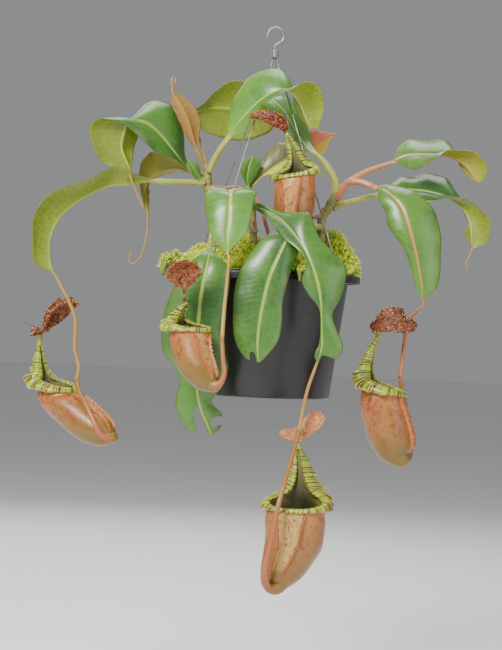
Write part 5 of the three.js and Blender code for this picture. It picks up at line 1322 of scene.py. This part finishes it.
# Cup: x, y, z and half the size front to back and across. Tendril and lidStalk: x, y, z and
# radius. LidRows: x, y, z, half the width, and how far the middle is arched.
PITCHERS = {
    "left": {
        "heading": -35,
        "cup": [
            [-259, -62, -479, 26, 24], [-254, -64, -488, 29, 26], [-247, -69, -495, 30, 28],
            [-227, -82, -511, 27.5, 27], [-209, -95, -524, 24, 24], [-193, -106, -532, 17.5, 18],
            [-182, -112, -535, 8, 8],
        ],
        "neck": {"height": 56, "forward": -7, "aside": 0},
        "tendril": [
            [-233, -76, -466, 2.8], [-227, -95, -481, 3], [-215, -112, -499, 3.2],
            [-203, -122, -520, 3.6], [-195, -120, -532, 4.4], [-191, -110, -535, 5.5],
        ],
        "lidSide": [0.57, 0.82, 0],
        "lidStalk": [[-286, -43, -427, 2.6], [-283, -42, -405, 2]],
        "lidRows": [
            [-295, -38, -411, 4, 4], [-289, -40, -408, 8, 7], [-281, -42, -405, 4, 2],
            [-274, -42, -395, 10, 9], [-265, -40, -385, 16, 15], [-255, -38, -376, 17, 15],
            [-245, -36, -370, 13, 9], [-237, -35, -370, 5, 2],
        ],
        "lidThickness": 2.6,
    },
    "front_left": {
        "heading": -45,
        "lipShare": 0.6,
        "cup": [
            [-91, -168, -395, 24.5, 25], [-89, -170, -408, 25, 25], [-84, -175, -427, 24.5, 24.5],
            [-75, -183, -445, 21.5, 21], [-66, -190, -457, 16, 16], [-57, -197, -462, 9, 9],
        ],
        "neck": {"height": 31, "forward": 15, "aside": 0},
        "tendril": [
            [-50, -168, -406, 2.8], [-47, -182, -433, 3], [-45, -194, -447, 3.4], [-49, -200, -458, 4],
            [-57, -198, -462, 5],
        ],
        "lidSide": [0.96, 0.28, 0],
        "lidStalk": [[-98, -160, -368, 2.4], [-99, -161, -341, 1.7]],
        "lidRows": [
            [-99, -160, -345, 3, 0], [-99, -163, -338, 12, 3], [-100, -167, -330, 20, 5],
            [-101, -171, -322, 20, 5], [-101, -174, -316, 15, 3], [-101, -176, -311, 6, 0],
        ],
        "lidThickness": 2.6,
    },
    "bottom": {
        "heading": -105,
        "lipShare": 0.45,
        "cup": [
            [51, -172, -609, 31, 37], [50, -172, -629, 32, 37.5], [49, -173, -653, 31, 36],
            [42, -176, -674, 28, 31], [35, -181, -691, 22, 25], [29, -188, -703, 12, 13],
        ],
        "neck": {"height": 77, "forward": 6, "aside": -8},
        "tendril": [
            [50, -156, -515, 2.5], [43, -180, -543, 2.7], [35, -204, -572, 2.9], [27, -218, -605, 3.1],
            [22, -220, -638, 3.4], [16, -217, -671, 4], [15, -209, -691, 5], [20, -199, -703, 5.6],
            [27, -190, -704, 5.6],
        ],
        "lidSide": [0.25, 0.35, 0.9],
        "lidStalk": [[49, -147, -537, 2.6], [48, -147, -519, 1.6]],
        "lidRows": [
            [26, -152, -517, 1.5, 0], [36, -149, -519, 7, 1], [48, -146, -519, 9, 2],
            [58, -141, -512, 10, 1], [67, -137, -503, 11, -1], [74, -133, -497, 9, 1],
            [79, -131, -493, 5, 0],
        ],
        "lidThickness": 1.4,
    },
    "right": {
        "heading": -15,
        "cup": [
            [155, -66, -464, 27, 25], [156, -66, -476, 28.5, 26], [163, -67, -502, 30, 27],
            [170, -68, -524, 28.5, 25], [177, -69, -539, 23, 20], [184, -70, -547, 15, 13],
        ],
        "neck": {"height": 71, "forward": 17, "aside": 0},
        "tendril": [
            [179, -42, -445, 2.9], [183, -34, -467, 3], [188, -32, -492, 3.1], [193, -36, -521, 3.6],
            [195, -48, -540, 4.6], [188, -63, -547, 5.6],
        ],
        "lidSide": [0.26, 0.97, 0],
        "lidStalk": [[146, -63, -396, 2.6], [148, -63, -370, 2]],
        "lidRows": [
            [137, -62, -379, 4, 9], [143, -63, -385, 12, 23], [155, -65, -385, 19, 28],
            [168, -68, -385, 21, 29.5], [180, -71, -385, 18, 28], [189, -73, -381, 11, 21],
            [194, -74, -374, 4, 9],
        ],
        "lidThickness": 2.6,
    },
    "top": {
        "heading": -105,
        "lipShare": 0.6,
        "cup": [
            [33, -78, -196, 24, 26], [33, -78, -213, 25.5, 26.5], [33, -78, -231, 25, 26],
            [32, -79, -248, 22, 23], [30, -81, -263, 16, 17], [28, -85, -272, 8.5, 9],
        ],
        "neck": {"height": 54, "forward": 12, "aside": -16, "slope": 0.2},
        "tendril": [
            [-25, -9, -219, 2], [-20, -20, -221, 2], [-16, -30, -225, 2], [-7, -46, -241, 2.2],
            [-1, -62, -261, 2.4], [5, -76, -275, 2.8], [17, -86, -280, 3.6], [27, -87, -274, 4.6],
        ],
        "lidSide": [0.2, 0.85, 0.45],
        "lidStalk": [[21, -62, -146, 2.6], [17, -61, -133, 2]],
        "lidRows": [
            [20, -60, -135, 4, 1], [13, -62, -129, 12, 6], [2, -65, -124, 15, 8],
            [-9, -70, -121, 12, 6], [-19, -75, -121, 6, 2], [-28, -80, -122, 2, 0],
        ],
        "lidThickness": 2.6,
    },
}

# Half of the mouth, from its front to the top of the neck: across, to the front, up.
MOUTH_HALF = np.array([
    (0, 1, 0), (0.5, 0.87, 0.01), (0.87, 0.5, 0.045), (1, 0, 0.1), (0.78, -0.6, 0.17),
    (0.46, -0.85, 0.27), (0.28, -0.95, 0.43), (0.16, -1, 0.66), (0.09, -1, 0.88), (0, -1, 1),
])
# Which way the lip reaches out there, how far, and how far it hangs in over the mouth.
LIP_OUT = np.array([
    (0, 1, -0.3), (0.5, 0.87, -0.3), (0.87, 0.5, -0.3), (1, -0.05, -0.35), (0.8, -0.55, -0.25),
    (0.62, -0.78, -0.05), (0.6, -0.8, 0), (0.62, -0.78, 0.1), (0.55, -0.8, 0.3), (0, -0.7, 0.7),
])
LIP_REACH = np.array([8, 9, 12, 16, 20, 23, 17, 11, 6, 3.5])
LIP_INSIDE = np.array([3.2, 3.2, 3.6, 4.5, 6, 7.5, 6, 4, 2, 1.8])
FRILL = np.array([0, 0, 0.1, 0.35, 0.8, 1, 0.9, 0.6, 0.2, 0])  # how pointed its margin is
APEX = len(MOUTH_HALF) - 1
LARGEST_MOUTH = 37  # half its width; LIP_REACH and LIP_INSIDE are those of this mouth
CUP_WALL = 1.9
CUP_SWELL = 0.5
CUP_SWELL_FINENESS = 0.035
LIP_CLEAR = 0.45
LIP_FOOT = 0.65
LIP_STEPS = 28  # fine rows of the lip between two of the rows round the mouth
LIP_SECTION_STEPS = 4
RIB_PITCH = 2.1
RIB_HIGH = 0.42
TOOTH = 0.22  # of the lip's reach inside
FRILL_REACH = 0.28  # of the lip's reach
FRILL_POINTS = 19
FLARE = (0.92, 0.7)  # the tendril's radius in the cup's last two rings, as shares of theirs
AROUND = 5  # fine points of the cup between two of the rows round the mouth
DOWN = 6  # fine rings between two of a cup's rows
SHOULDER = 0.45  # the edge's share in the row between the mouth's edge and the first ring
VINE_SIDES = 20
STUB_SIDES = 16
WING_HEIGHT = 3.4
WING_HALF = 1.1
WING_PROFILE = [  # across; and up in millimetres below 0, above it as a share of the height
    (-1.8 * WING_HALF, -0.6), (-0.5 * WING_HALF, 0.45), (-0.28, 1.0),
    (0.28, 1.0), (0.5 * WING_HALF, 0.45), (1.8 * WING_HALF, -0.6),
]
WING_ENDS = 8  # fine rows over which a wing rises and falls
LID_COLUMNS = 33
LID_STEPS = 8
LUMP_HIGH = 0.4  # of the lid's thickness
LID_FRAY = 1.6

# Round the mouth: front, one side, the neck's top, the other side.
MOUTH_ORDER = [*range(APEX + 1), *range(APEX - 1, 0, -1)]
MOUTH_HAND = np.array([1.0] * (APEX + 1) + [-1.0] * (APEX - 1))


def grid_uv(rows, count, offset=0.0, extra=0):
    """UVs for rows of count points: u goes round, v from 0 to 1 beyond the offset. Extra ones
    are for the middles of the caps."""
    v, u = np.meshgrid(np.linspace(0, 1, rows), np.arange(count) / count, indexing="ij")
    uv = np.stack([u, v + offset], axis=-1).reshape(-1, 2)
    return np.concatenate([uv, [[0.0, offset]] * extra]) if extra else uv


def round_eased(rows, steps):
    """Eases rows that go round, along their first axis."""
    rows = np.asarray(rows, float)
    padded = np.concatenate([rows[-2:], rows, rows[:3]])
    return eased(padded, steps)[2 * steps : (2 + len(rows)) * steps]


def pitcher_axes(pitcher):
    """Where a pitcher faces, its side, and up."""
    turn = math.radians(pitcher["heading"])
    front = np.array([math.cos(turn), math.sin(turn), 0])
    across = np.array([-math.sin(turn), math.cos(turn), 0])
    return front, across, np.array([0, 0, 1.0])


def mouth_points(pitcher):
    """The mouth's edge and the middle that each of its points looks to."""
    front, across, up = pitcher_axes(pitcher)
    x, y, z, front_half, across_half = pitcher["cup"][0]
    neck = pitcher["neck"]
    half = MOUTH_HALF[MOUTH_ORDER]
    bend = half[:, 2] ** 1.5
    s = MOUTH_HAND * half[:, 0] * across_half
    middle = np.array([x, y, z]) + np.outer(neck["aside"] * bend, across)
    middle = middle + np.outer(neck["forward"] * bend, front)
    middle = middle + np.outer(half[:, 2] * neck["height"], up)
    edge = middle + np.outer(s, across) + np.outer(half[:, 1] * front_half, front)
    edge = edge + np.outer(neck.get("slope", 0) * s, up)
    return edge, middle


def cup_rings(pitcher):
    """The cup's rings below the mouth, and their middles."""
    front, across, up = pitcher_axes(pitcher)
    rows = np.array(pitcher["cup"], float)
    along = runs(rows[:, :3])
    half = MOUTH_HALF[MOUTH_ORDER]
    flat_turn = np.arctan2(half[:, 0], half[:, 1])
    even_turn = np.pi * np.array(MOUTH_ORDER) / APEX
    rings = []
    for i, row in enumerate(rows[1:], 1):
        share = i / (len(rows) - 1)
        normal = unit(up * (1 - share) - along[i] * share)
        ahead = unit(np.cross(across, normal))
        blend = min(i / 2, 1)
        turn = flat_turn * (1 - blend) + even_turn * blend
        ring = row[:3] + np.outer(row[3] * np.cos(turn), ahead)
        rings.append(ring + np.outer(MOUTH_HAND * row[4] * np.sin(turn), across))
    return np.array(rings), rows[1:, :3]


def grow_cup(name, pitcher, material):
    """The hollow cup, its wings and the tendril's end in one piece; gives the wings' crests."""
    edge, middle = mouth_points(pitcher)
    rings, centres = cup_rings(pitcher)
    inner = rings + CUP_WALL * unit(centres[:, None, :] - rings)
    inner_edge = edge + CUP_WALL * unit(middle - edge)
    shells = []
    for rim, rows in ((edge, rings), (inner_edge, inner[:-2])):
        rows = eased([rim, rim * SHOULDER + rows[0] * (1 - SHOULDER), *rows], DOWN)
        shells.append(np.stack([round_eased(ring, AROUND) for ring in rows]))
    down, inside = shells
    uneven(down[2:], CUP_SWELL, CUP_SWELL_FINENESS)
    count = down.shape[1]
    points, faces = skin(np.concatenate([down[::-1], inside]))
    uv = np.concatenate([
        grid_uv(len(down), count).reshape(len(down), -1, 2)[::-1].reshape(-1, 2),
        grid_uv(len(inside), count, 2.0), [[0, 1.0], [0, 3.0]],
    ])
    uv[:, 0] = np.minimum(uv[:, 0], 1 - uv[:, 0])
    parts = [(points, faces, uv)]
    # The winged ridges down the front: a soft fold with an uneven toothed crest.
    rng = np.random.default_rng(SEED + len(name))
    crest_lines = []
    for column in (AROUND, (2 * APEX - 1) * AROUND):
        fine = eased(down[1:-2, column], 4)
        out = unit(fine - eased(down[1:-2].mean(axis=1), 4))
        side = unit(np.cross(runs(fine), out))
        row = np.arange(len(fine))
        ends = np.clip(np.minimum(row, row[::-1]) / WING_ENDS, 0, 1)
        tall = WING_HEIGHT * ends * (0.75 + 0.25 * np.sin(row * 0.9))
        tall = tall * (0.85 + 0.3 * rng.random(len(fine)))
        wing = np.stack([
            fine + side * a + out * (tall * b if b > 0 else np.full(len(fine), b))[:, None]
            for a, b in WING_PROFILE
        ], axis=1)
        parts.append((*skin(wing), grid_uv(len(wing), len(WING_PROFILE), 4.0, 2)))
        crest_lines.append((fine + out * tall[:, None], out))
    ends = [(*row[:3], share * min(row[3:])) for row, share in zip(pitcher["cup"][:-3:-1], FLARE)]
    vine = tube_rings([*pitcher["tendril"][:-1], *ends], VINE_SIDES, 8)
    parts.append((*skin(vine), grid_uv(len(vine), VINE_SIDES, 6.0, 2)))
    points, faces, uv = merged(parts)
    make_piece(name + "_cup_fine", points, faces, material, uv, [name + "_cup"])
    return crest_lines


def grow_lip(name, pitcher, material):
    """The rolled lip round the mouth and up the neck, with the lid's stalk on its top."""
    front, across, up = pitcher_axes(pitcher)
    edge, _ = mouth_points(pitcher)
    half = MOUTH_HALF[MOUTH_ORDER]
    out_rows = LIP_OUT[MOUTH_ORDER]
    forward = np.minimum(1, 4 * half[:, 2]) * (CUP_WALL + LIP_CLEAR)
    curve = edge + np.outer(forward, front)
    sideways, ahead, upward = MOUTH_HAND * out_rows[:, 0], out_rows[:, 1], out_rows[:, 2]
    outward = unit(np.outer(sideways, across) + np.outer(ahead, front) + np.outer(upward, up))
    scale = pitcher["cup"][0][4] / LARGEST_MOUTH
    # Below the neck some lips turn steeply down, so that they reach out less.
    low = np.clip(1 - 2.5 * half[:, 2], 0, 1)
    reach = LIP_REACH[MOUTH_ORDER] * scale * (1 - (1 - pitcher.get("lipShare", 1)) * low)

    def fine(values):
        return round_eased(values[:, None], LIP_STEPS)[:, 0]

    curve, outward = round_eased(curve, LIP_STEPS), unit(round_eased(outward, LIP_STEPS))
    count = len(curve)
    along = unit(np.roll(curve, -1, axis=0) - np.roll(curve, 1, axis=0))
    over = unit(np.cross(outward, along))
    steps = np.linalg.norm(np.diff(curve, axis=0), axis=1)
    distance = np.concatenate([[0], np.cumsum(steps)])
    length = distance[-1] + np.linalg.norm(curve[0] - curve[-1])
    turn = 2 * np.pi * distance / length
    rib_wave = np.sin(round(length / RIB_PITCH) * turn)
    # The margin lies in low lobes, and every rib ends in a tooth inside.
    lobes = 1 + 0.07 * np.sin(7 * turn + 1.0) + 0.04 * np.sin(13 * turn)
    frill = fine(FRILL[MOUTH_ORDER]) * np.maximum(np.sin(FRILL_POINTS * turn), 0) ** 2
    reach = fine(reach) * (lobes + FRILL_REACH * frill)
    inside = fine(LIP_INSIDE[MOUTH_ORDER] * scale)
    crown = 1.6 + 0.2 * reach
    tooth = inside * TOOTH * np.maximum(rib_wave, 0)
    section = np.array([  # outward and over, from inside the mouth over the crown and back
        (-inside - tooth, -0.2 - tooth),
        (-inside * 0.75, 0.75 * crown),
        (0.1 * reach, 1.02 * crown),
        (0.55 * reach, 0.72 * crown),
        (reach, (0.2 * frill - 0.2) * reach),
        (0.86 * reach, -0.55 * reach),
        (0.5 * reach, -0.25 * reach),
        (np.full(count, LIP_FOOT), np.full(count, LIP_CLEAR)),
    ]).swapaxes(1, 2)
    profile = round_eased(section, LIP_SECTION_STEPS)
    sides = len(profile)
    raised = np.exp(-((np.arange(sides) - 2.2 * LIP_SECTION_STEPS) / 6.0) ** 2)
    rings = np.empty((count, sides, 3))
    for k in range(sides):
        high = profile[k, :, 1] + RIB_HIGH * raised[k] * rib_wave
        rings[:, k] = curve + outward * profile[k, :, :1] + over * high[:, None]
    u, v = np.meshgrid(distance / 10, np.arange(sides) / sides, indexing="ij")
    uv = np.stack([u, v], axis=-1).reshape(-1, 2)
    stub = tube_rings(pitcher["lidStalk"], STUB_SIDES, 8)
    points, faces, uv = merged([
        (*skin(rings, closed=True, caps=False), uv),
        (*skin(stub), grid_uv(len(stub), STUB_SIDES, 2.0, 2)),
    ])
    make_piece(name + "_lip_fine", points, faces, material, uv, [name + "_lip"])


def grow_lid(name, pitcher, material, seed):
    """The arched lid, lumpy above and frayed at its margin; u is from -1 to 1, 3 to 5 beneath."""
    rows = np.array(pitcher["lidRows"], float)
    line, along = rows[:, :3], runs(rows[:, :3])
    across = np.array(pitcher["lidSide"], float)
    if np.cross(across, along[len(rows) // 2])[2] < 0:
        across = -across
    v = np.linspace(-1, 1, LID_COLUMNS)
    top, overs = [], []
    for i, row in enumerate(rows):
        side = square(across, along[i])
        over = unit(np.cross(side, along[i]))
        arch = row[4] * (1 - v**2)
        top.append(line[i] + np.outer(v * row[3], side) + np.outer(arch, over))
        overs.append(np.broadcast_to(over, (len(v), 3)))
    top, overs = eased(top, LID_STEPS), unit(eased(overs, LID_STEPS))
    thin = pitcher["lidThickness"]
    lumps = np.empty(top.shape[:2])
    for at in np.ndindex(lumps.shape):
        place = Vector(top[at])
        grown = noise.noise(place * 0.22 + Vector((seed, 0, 0)))
        lumps[at] = grown + 0.6 * noise.noise(place * 0.6)
    frayed = np.abs(v)[None, :] ** 8
    top = top + overs * (lumps * thin * LUMP_HIGH)[:, :, None]
    edge_out = unit(top - top.mean(axis=1, keepdims=True))
    top = top + edge_out * (frayed * lumps * LID_FRAY)[:, :, None]
    bottom = top - overs * thin * 0.75
    rings = np.concatenate([top, bottom[:, ::-1]], axis=1)
    points, faces = skin(rings)
    u = np.concatenate([v, v[::-1] + 4])
    grid = np.broadcast_arrays(u, np.linspace(0, 1, len(rings))[:, None])
    uv = np.concatenate([np.stack(grid, axis=-1).reshape(-1, 2), [[0, 0], [0, 1]]])
    make_piece(name + "_lid_fine", points, faces, material, uv, [name + "_lid"])


def cup_material(name, upper, lower, panel, streak, wing):
    """Peach to olive with red specks. u: 0 at the front, 0.5 behind; v: outside 0..1, inside 2..3,
    wings 4..5, tendril 6..7."""
    material, shader, where, u, v = new_material(name)
    blotch = where.fine(34.0)
    grain = where.fine(190.0, 4.0)
    down = (v + blotch * 0.5).rise(0.35, 1.1)
    colour = down.blend(upper, lower)
    front = u.rise(0.06, 0.045) * v.rise(0.9, 0.7)
    colour = (front * 0.85).blend(colour, panel)
    specks = where.stretched(1.0, 1.0, 0.6).fine(230.0, 2.5, 0.6).rise(0.575, 0.65)
    blots = where.stretched(1.0, 1.0, 0.45).fine(85.0, 3.0, 0.6).rise(0.56, 0.68)
    marks = (specks * 0.85 + blots * 0.7) * v.rise(1.05, 0.4)
    colour = marks.blend(colour, streak)
    colour = ((grain - 0.5) * 1.3 + 0.2).blend(colour, lower)
    # Inside, the cup is dark green and darkens further with depth: painted shade.
    inner = v.rise(2.0, 2.35).blend((0.17, 0.16, 0.04), (0.03, 0.035, 0.012))
    inner = (where.fine(150.0).rise(0.6, 0.68) * 0.5).blend(inner, streak)
    colour = v.rise(1.4, 1.6).blend(colour, inner)
    colour = v.rise(3.4, 3.6).blend(colour, grain.rise(0.3, 0.7).blend(wing, upper))
    vine = (v + blotch * 0.4).rise(6.1, 6.8).blend((0.26, 0.14, 0.03), (0.38, 0.1, 0.035))
    vine = v.rise(6.64, 6.86).blend(vine, lower)
    colour = v.rise(5.4, 5.6).blend(colour, vine)
    colour = (grain.rise(0.56, 0.66) * v.rise(1.2, 1.0) * 0.3).blend(colour, streak)
    fibre = where.stretched(1.0, 1.0, 0.15).fine(120.0, 2.0)
    height = grain * 0.7 + fibre * 0.8 - specks * 0.25 + blotch * 1.5
    finish_material(
        shader, colour, grain * 0.2 + 0.3, height, 0.35, 0.0006, Coat_Roughness=0.25, Coat_Weight=0.2
    )
    return material


def lip_material(name, ground, stripe, back):
    """Lime with uneven dark stripes across; u is centimetres round the mouth, v round the section."""
    material, shader, where, u, v = new_material(name)
    over = v.node("ShaderNodeCombineXYZ", {0: u + v * 0.3, 1: v * 0.1})
    wide = over.fine(2.6, 2.0, 0.5)
    narrow = over.fine(7.5, 1.0, 0.5)
    grain = where.fine(240.0, 3.0)
    bands = (wide * 0.45 + narrow * 0.55).rise(0.5, 0.53)
    upper_side = v.rise(0.64, 0.58)
    colour = where.fine(60.0).rise(0.3, 0.7).blend(ground, back)
    colour = (bands * upper_side * 0.95).blend(colour, stripe)
    colour = (v.rise(0.6, 0.7) * 0.8).blend(colour, back)
    stub = where.fine(70.0).rise(0.35, 0.65).blend(back, stripe)
    colour = v.rise(1.4, 1.6).blend(colour, stub)
    ribs = (u * 29.9).sine()
    # The grooves between the ribs are darkened: painted shade.
    between = ribs.rise(-0.1, -1.0) * v.rise(1.2, 1.0) * 0.28
    colour = between.blend(colour, (0.1, 0.09, 0.01))
    height = ribs * 0.6 + grain * 0.3
    finish_material(
        shader, colour, grain * 0.12 + 0.14, height, 0.4, 0.0005, Coat_Roughness=0.1, Coat_Weight=0.4
    )
    return material


def lid_material(name, light, dark, under, rough_base):
    """Grained, wrinkled lid; u beyond 3 is the under side."""
    material, shader, where, u, v = new_material(name)
    curls = where.node("ShaderNodeTexVoronoi", {"Vector": where, "Scale": 260.0}, 0, feature="F1")
    worms = where.fine(300.0, 2.0, 0.5)
    blotch = where.fine(70.0, 3.0)
    colour = (blotch * 0.6 + worms * 0.4).rise(0.38, 0.62).blend(dark, light)
    # Darker in the hollows between the curls: painted shade.
    colour = (curls.rise(0.3, 0.75) * 0.6).blend(colour, dark)
    colour = u.rise(2.4, 2.6).blend(colour, blotch.rise(0.35, 0.65).blend(under, light))
    height = curls * -1.2 + worms * 0.9
    finish_material(shader, colour, worms * 0.25 + rough_base, height, 0.6, 0.0009)
    return material


PEACH_CUP = cup_material(
    "peach_cup", upper=(0.5, 0.145, 0.042), lower=(0.17, 0.1, 0.009), panel=(0.5, 0.27, 0.07),
    streak=(0.22, 0.014, 0.006), wing=(0.48, 0.075, 0.03),
)
CREAM_CUP = cup_material(
    "cream_cup", upper=(0.42, 0.15, 0.036), lower=(0.22, 0.11, 0.014), panel=(0.52, 0.36, 0.11),
    streak=(0.26, 0.02, 0.008), wing=(0.42, 0.09, 0.03),
)
STRIPED_LIP = lip_material(
    "striped_lip", ground=(0.34, 0.54, 0.008), stripe=(0.1, 0.01, 0.004), back=(0.38, 0.4, 0.025)
)
# This lid's own red-brown is painted darker so that it shows dark between its flakes: painted shade.
BROWN_LID = lid_material(
    "brown_lid", light=(0.26, 0.07, 0.02), dark=(0.06, 0.012, 0.006), under=(0.26, 0.1, 0.03),
    rough_base=0.45,
)
DRY_LID = lid_material(
    "dry_lid", light=(0.6, 0.26, 0.1), dark=(0.36, 0.13, 0.045), under=(0.44, 0.2, 0.06),
    rough_base=0.55,
)

wing_crests = []
for number, (name, pitcher) in enumerate(PITCHERS.items()):
    node = "pitcher_" + name
    finish = CREAM_CUP if name == "bottom" else PEACH_CUP
    wing_crests.append((node, grow_cup(node, pitcher, finish)))
    grow_lip(node, pitcher, STRIPED_LIP)
    grow_lid(node, pitcher, DRY_LID if name == "bottom" else BROWN_LID, number * 7.3)

# ---------------------------------------------------------------- lid granules and wing hairs
# Each lid is a mass of small curled flakes, 3 to 5 mm long, that grew on it; the bottom lid is
# a dried leaf with only a few. Fine brown hairs, 2 to 4 mm long, stand along the wings' crests,
# and one thin hair, the spur, stands out behind the left lid's foot.

FLAKE_LENGTH = 4.2
FLAKE_WIDTH = 1.7
FLAKE_THICKNESS = 0.18
FLAKE_HALF = FLAKE_WIDTH * np.array([0.35, 0.5, 0.5, 0.46, 0.4, 0.3, 0.12])  # from foot to tip
OPEN_CURL = 2.6  # radians from foot to tip
CLOSED_CURL = 4.6
HAIR_LENGTH = 3.6
HAIR_RADIUS = 0.2
HAIRS_PER_SQUARE_METRE = 2200000.0
CREST_HALF = 0.25
CREST_SINK = 0.35
ANY_WAY = -1.1  # lets pieces stand on faces that look down as well
SPUR = [(-290, -36, -402, 0.7), (-298, -35, -399, 0.55), (-304, -34, -396, 0.4), (-310, -33, -393, 0.25)]


def flake_object(name, curl):
    """A small strip curled over on itself, standing on its root."""
    bend = np.linspace(0, curl, len(FLAKE_HALF))
    step = FLAKE_LENGTH / (len(FLAKE_HALF) - 1)
    steps = [(step * math.sin(b), 0, step * math.cos(b)) for b in bend[1:]]
    line = np.cumsum([(0, 0, 0)] + steps, axis=0)
    rings = []
    for place, direction, wide in zip(line, runs(line), FLAKE_HALF):
        over = np.array([direction[2], 0, -direction[0]]) * FLAKE_THICKNESS
        side = np.array([0, wide, 0])
        rings.append([place - side, place + over, place + side, place - over])
    return plain_object(name, *skin(rings))


def crumb_material(name, dark, light):
    """Uneven brown with a fine grain."""
    material, shader, where, u, v = new_material(name)
    patch = where.fine(150.0, 2.0)
    grain = where.fine(600.0, 2.0)
    colour = (patch * 0.7 + grain * 0.3).rise(0.38, 0.62).blend(dark, light)
    finish_material(shader, colour, grain * 0.3 + 0.35, grain, 0.4, 0.0003)
    return material


RED_FLAKES = crumb_material("lid_flakes_red_brown", (0.09, 0.015, 0.006), (0.34, 0.07, 0.02))
# The tan flakes are painted lighter than their own tan: painted highlights on the lids' granules.
TAN_FLAKES = crumb_material("lid_flakes_tan", (0.4, 0.19, 0.05), (0.72, 0.45, 0.18))
ORANGE_FLAKES = crumb_material("lid_flakes_orange", (0.36, 0.06, 0.01), (0.62, 0.19, 0.03))
HAIR_BROWN = crumb_material("wing_hair_brown", (0.3, 0.13, 0.04), (0.55, 0.3, 0.1))

flakes = [flake_object("flake_open", OPEN_CURL), flake_object("flake_curled", CLOSED_CURL)]
FLAKE_SHARES = (0.62, 0.38)
LID_COVER = {  # name: (flakes per square metre, their two finishes)
    "left": (105000.0, (RED_FLAKES, TAN_FLAKES)),
    "front_left": (150000.0, (RED_FLAKES, ORANGE_FLAKES)),
    "right": (105000.0, (RED_FLAKES, TAN_FLAKES)),
    "top": (105000.0, (ORANGE_FLAKES, RED_FLAKES)),
    "bottom": (9000.0, (TAN_FLAKES, TAN_FLAKES)),
}
for number, (name, (density, finishes)) in enumerate(LID_COVER.items()):
    node = f"pitcher_{name}_lid"
    bed = bpy.data.objects[node + "_fine"]
    for turn, (flake, finish) in enumerate(zip(flakes, finishes)):
        values = {
            "Piece": flake, "Finish": finish, "Seed": SEED + 10 * number + turn, "Least up": ANY_WAY,
            "Lean": 0.8, "Smallest": 0.5, "Largest": 1.3,
            "Per square metre": density * FLAKE_SHARES[turn],
        }
        cover = made_by_nodes(f"{node}_flakes_{turn + 1}", bed, SCATTER, values)
        placed(cover, [node])
for flake in flakes:
    bpy.data.objects.remove(flake)

hair_rows = [  # x, y, z and radius of a hair that leans and tapers
    (0, 0, -0.2, HAIR_RADIUS), (0.15, 0, HAIR_LENGTH * 0.5, HAIR_RADIUS * 0.8),
    (0.6, 0, HAIR_LENGTH, 0.03),
]
hair = plain_object("wing_hair", *skin(tube_rings(hair_rows, 4, 2)))
for number, (node, crests) in enumerate(wing_crests):
    ribbons = []
    for line, outward in crests:
        side = unit(np.cross(runs(line), outward)) * CREST_HALF
        root = line - outward * CREST_SINK
        ribbons.append(skin(np.stack([root + side, root - side], axis=1), caps=False, wrap=False))
    strip = plain_object("crest_strip", *merged(ribbons))
    values = {
        "Piece": hair, "Finish": HAIR_BROWN, "Seed": SEED + number, "Least up": ANY_WAY,
        "Lean": 0.5, "Smallest": 0.5, "Largest": 1.2, "Per square metre": HAIRS_PER_SQUARE_METRE,
    }
    hairs = made_by_nodes(f"{node}_wing_hairs", strip, SCATTER, values)
    bpy.data.objects.remove(strip)
    placed(hairs, [node + "_cup"])
bpy.data.objects.remove(hair)

points, faces = skin(tube_rings(SPUR, 8, 5))
spur_uv = np.zeros((len(points), 2))
make_piece("pitcher_left_spur", points, faces, BROWN_LID, spur_uv, ["pitcher_left_lid"])
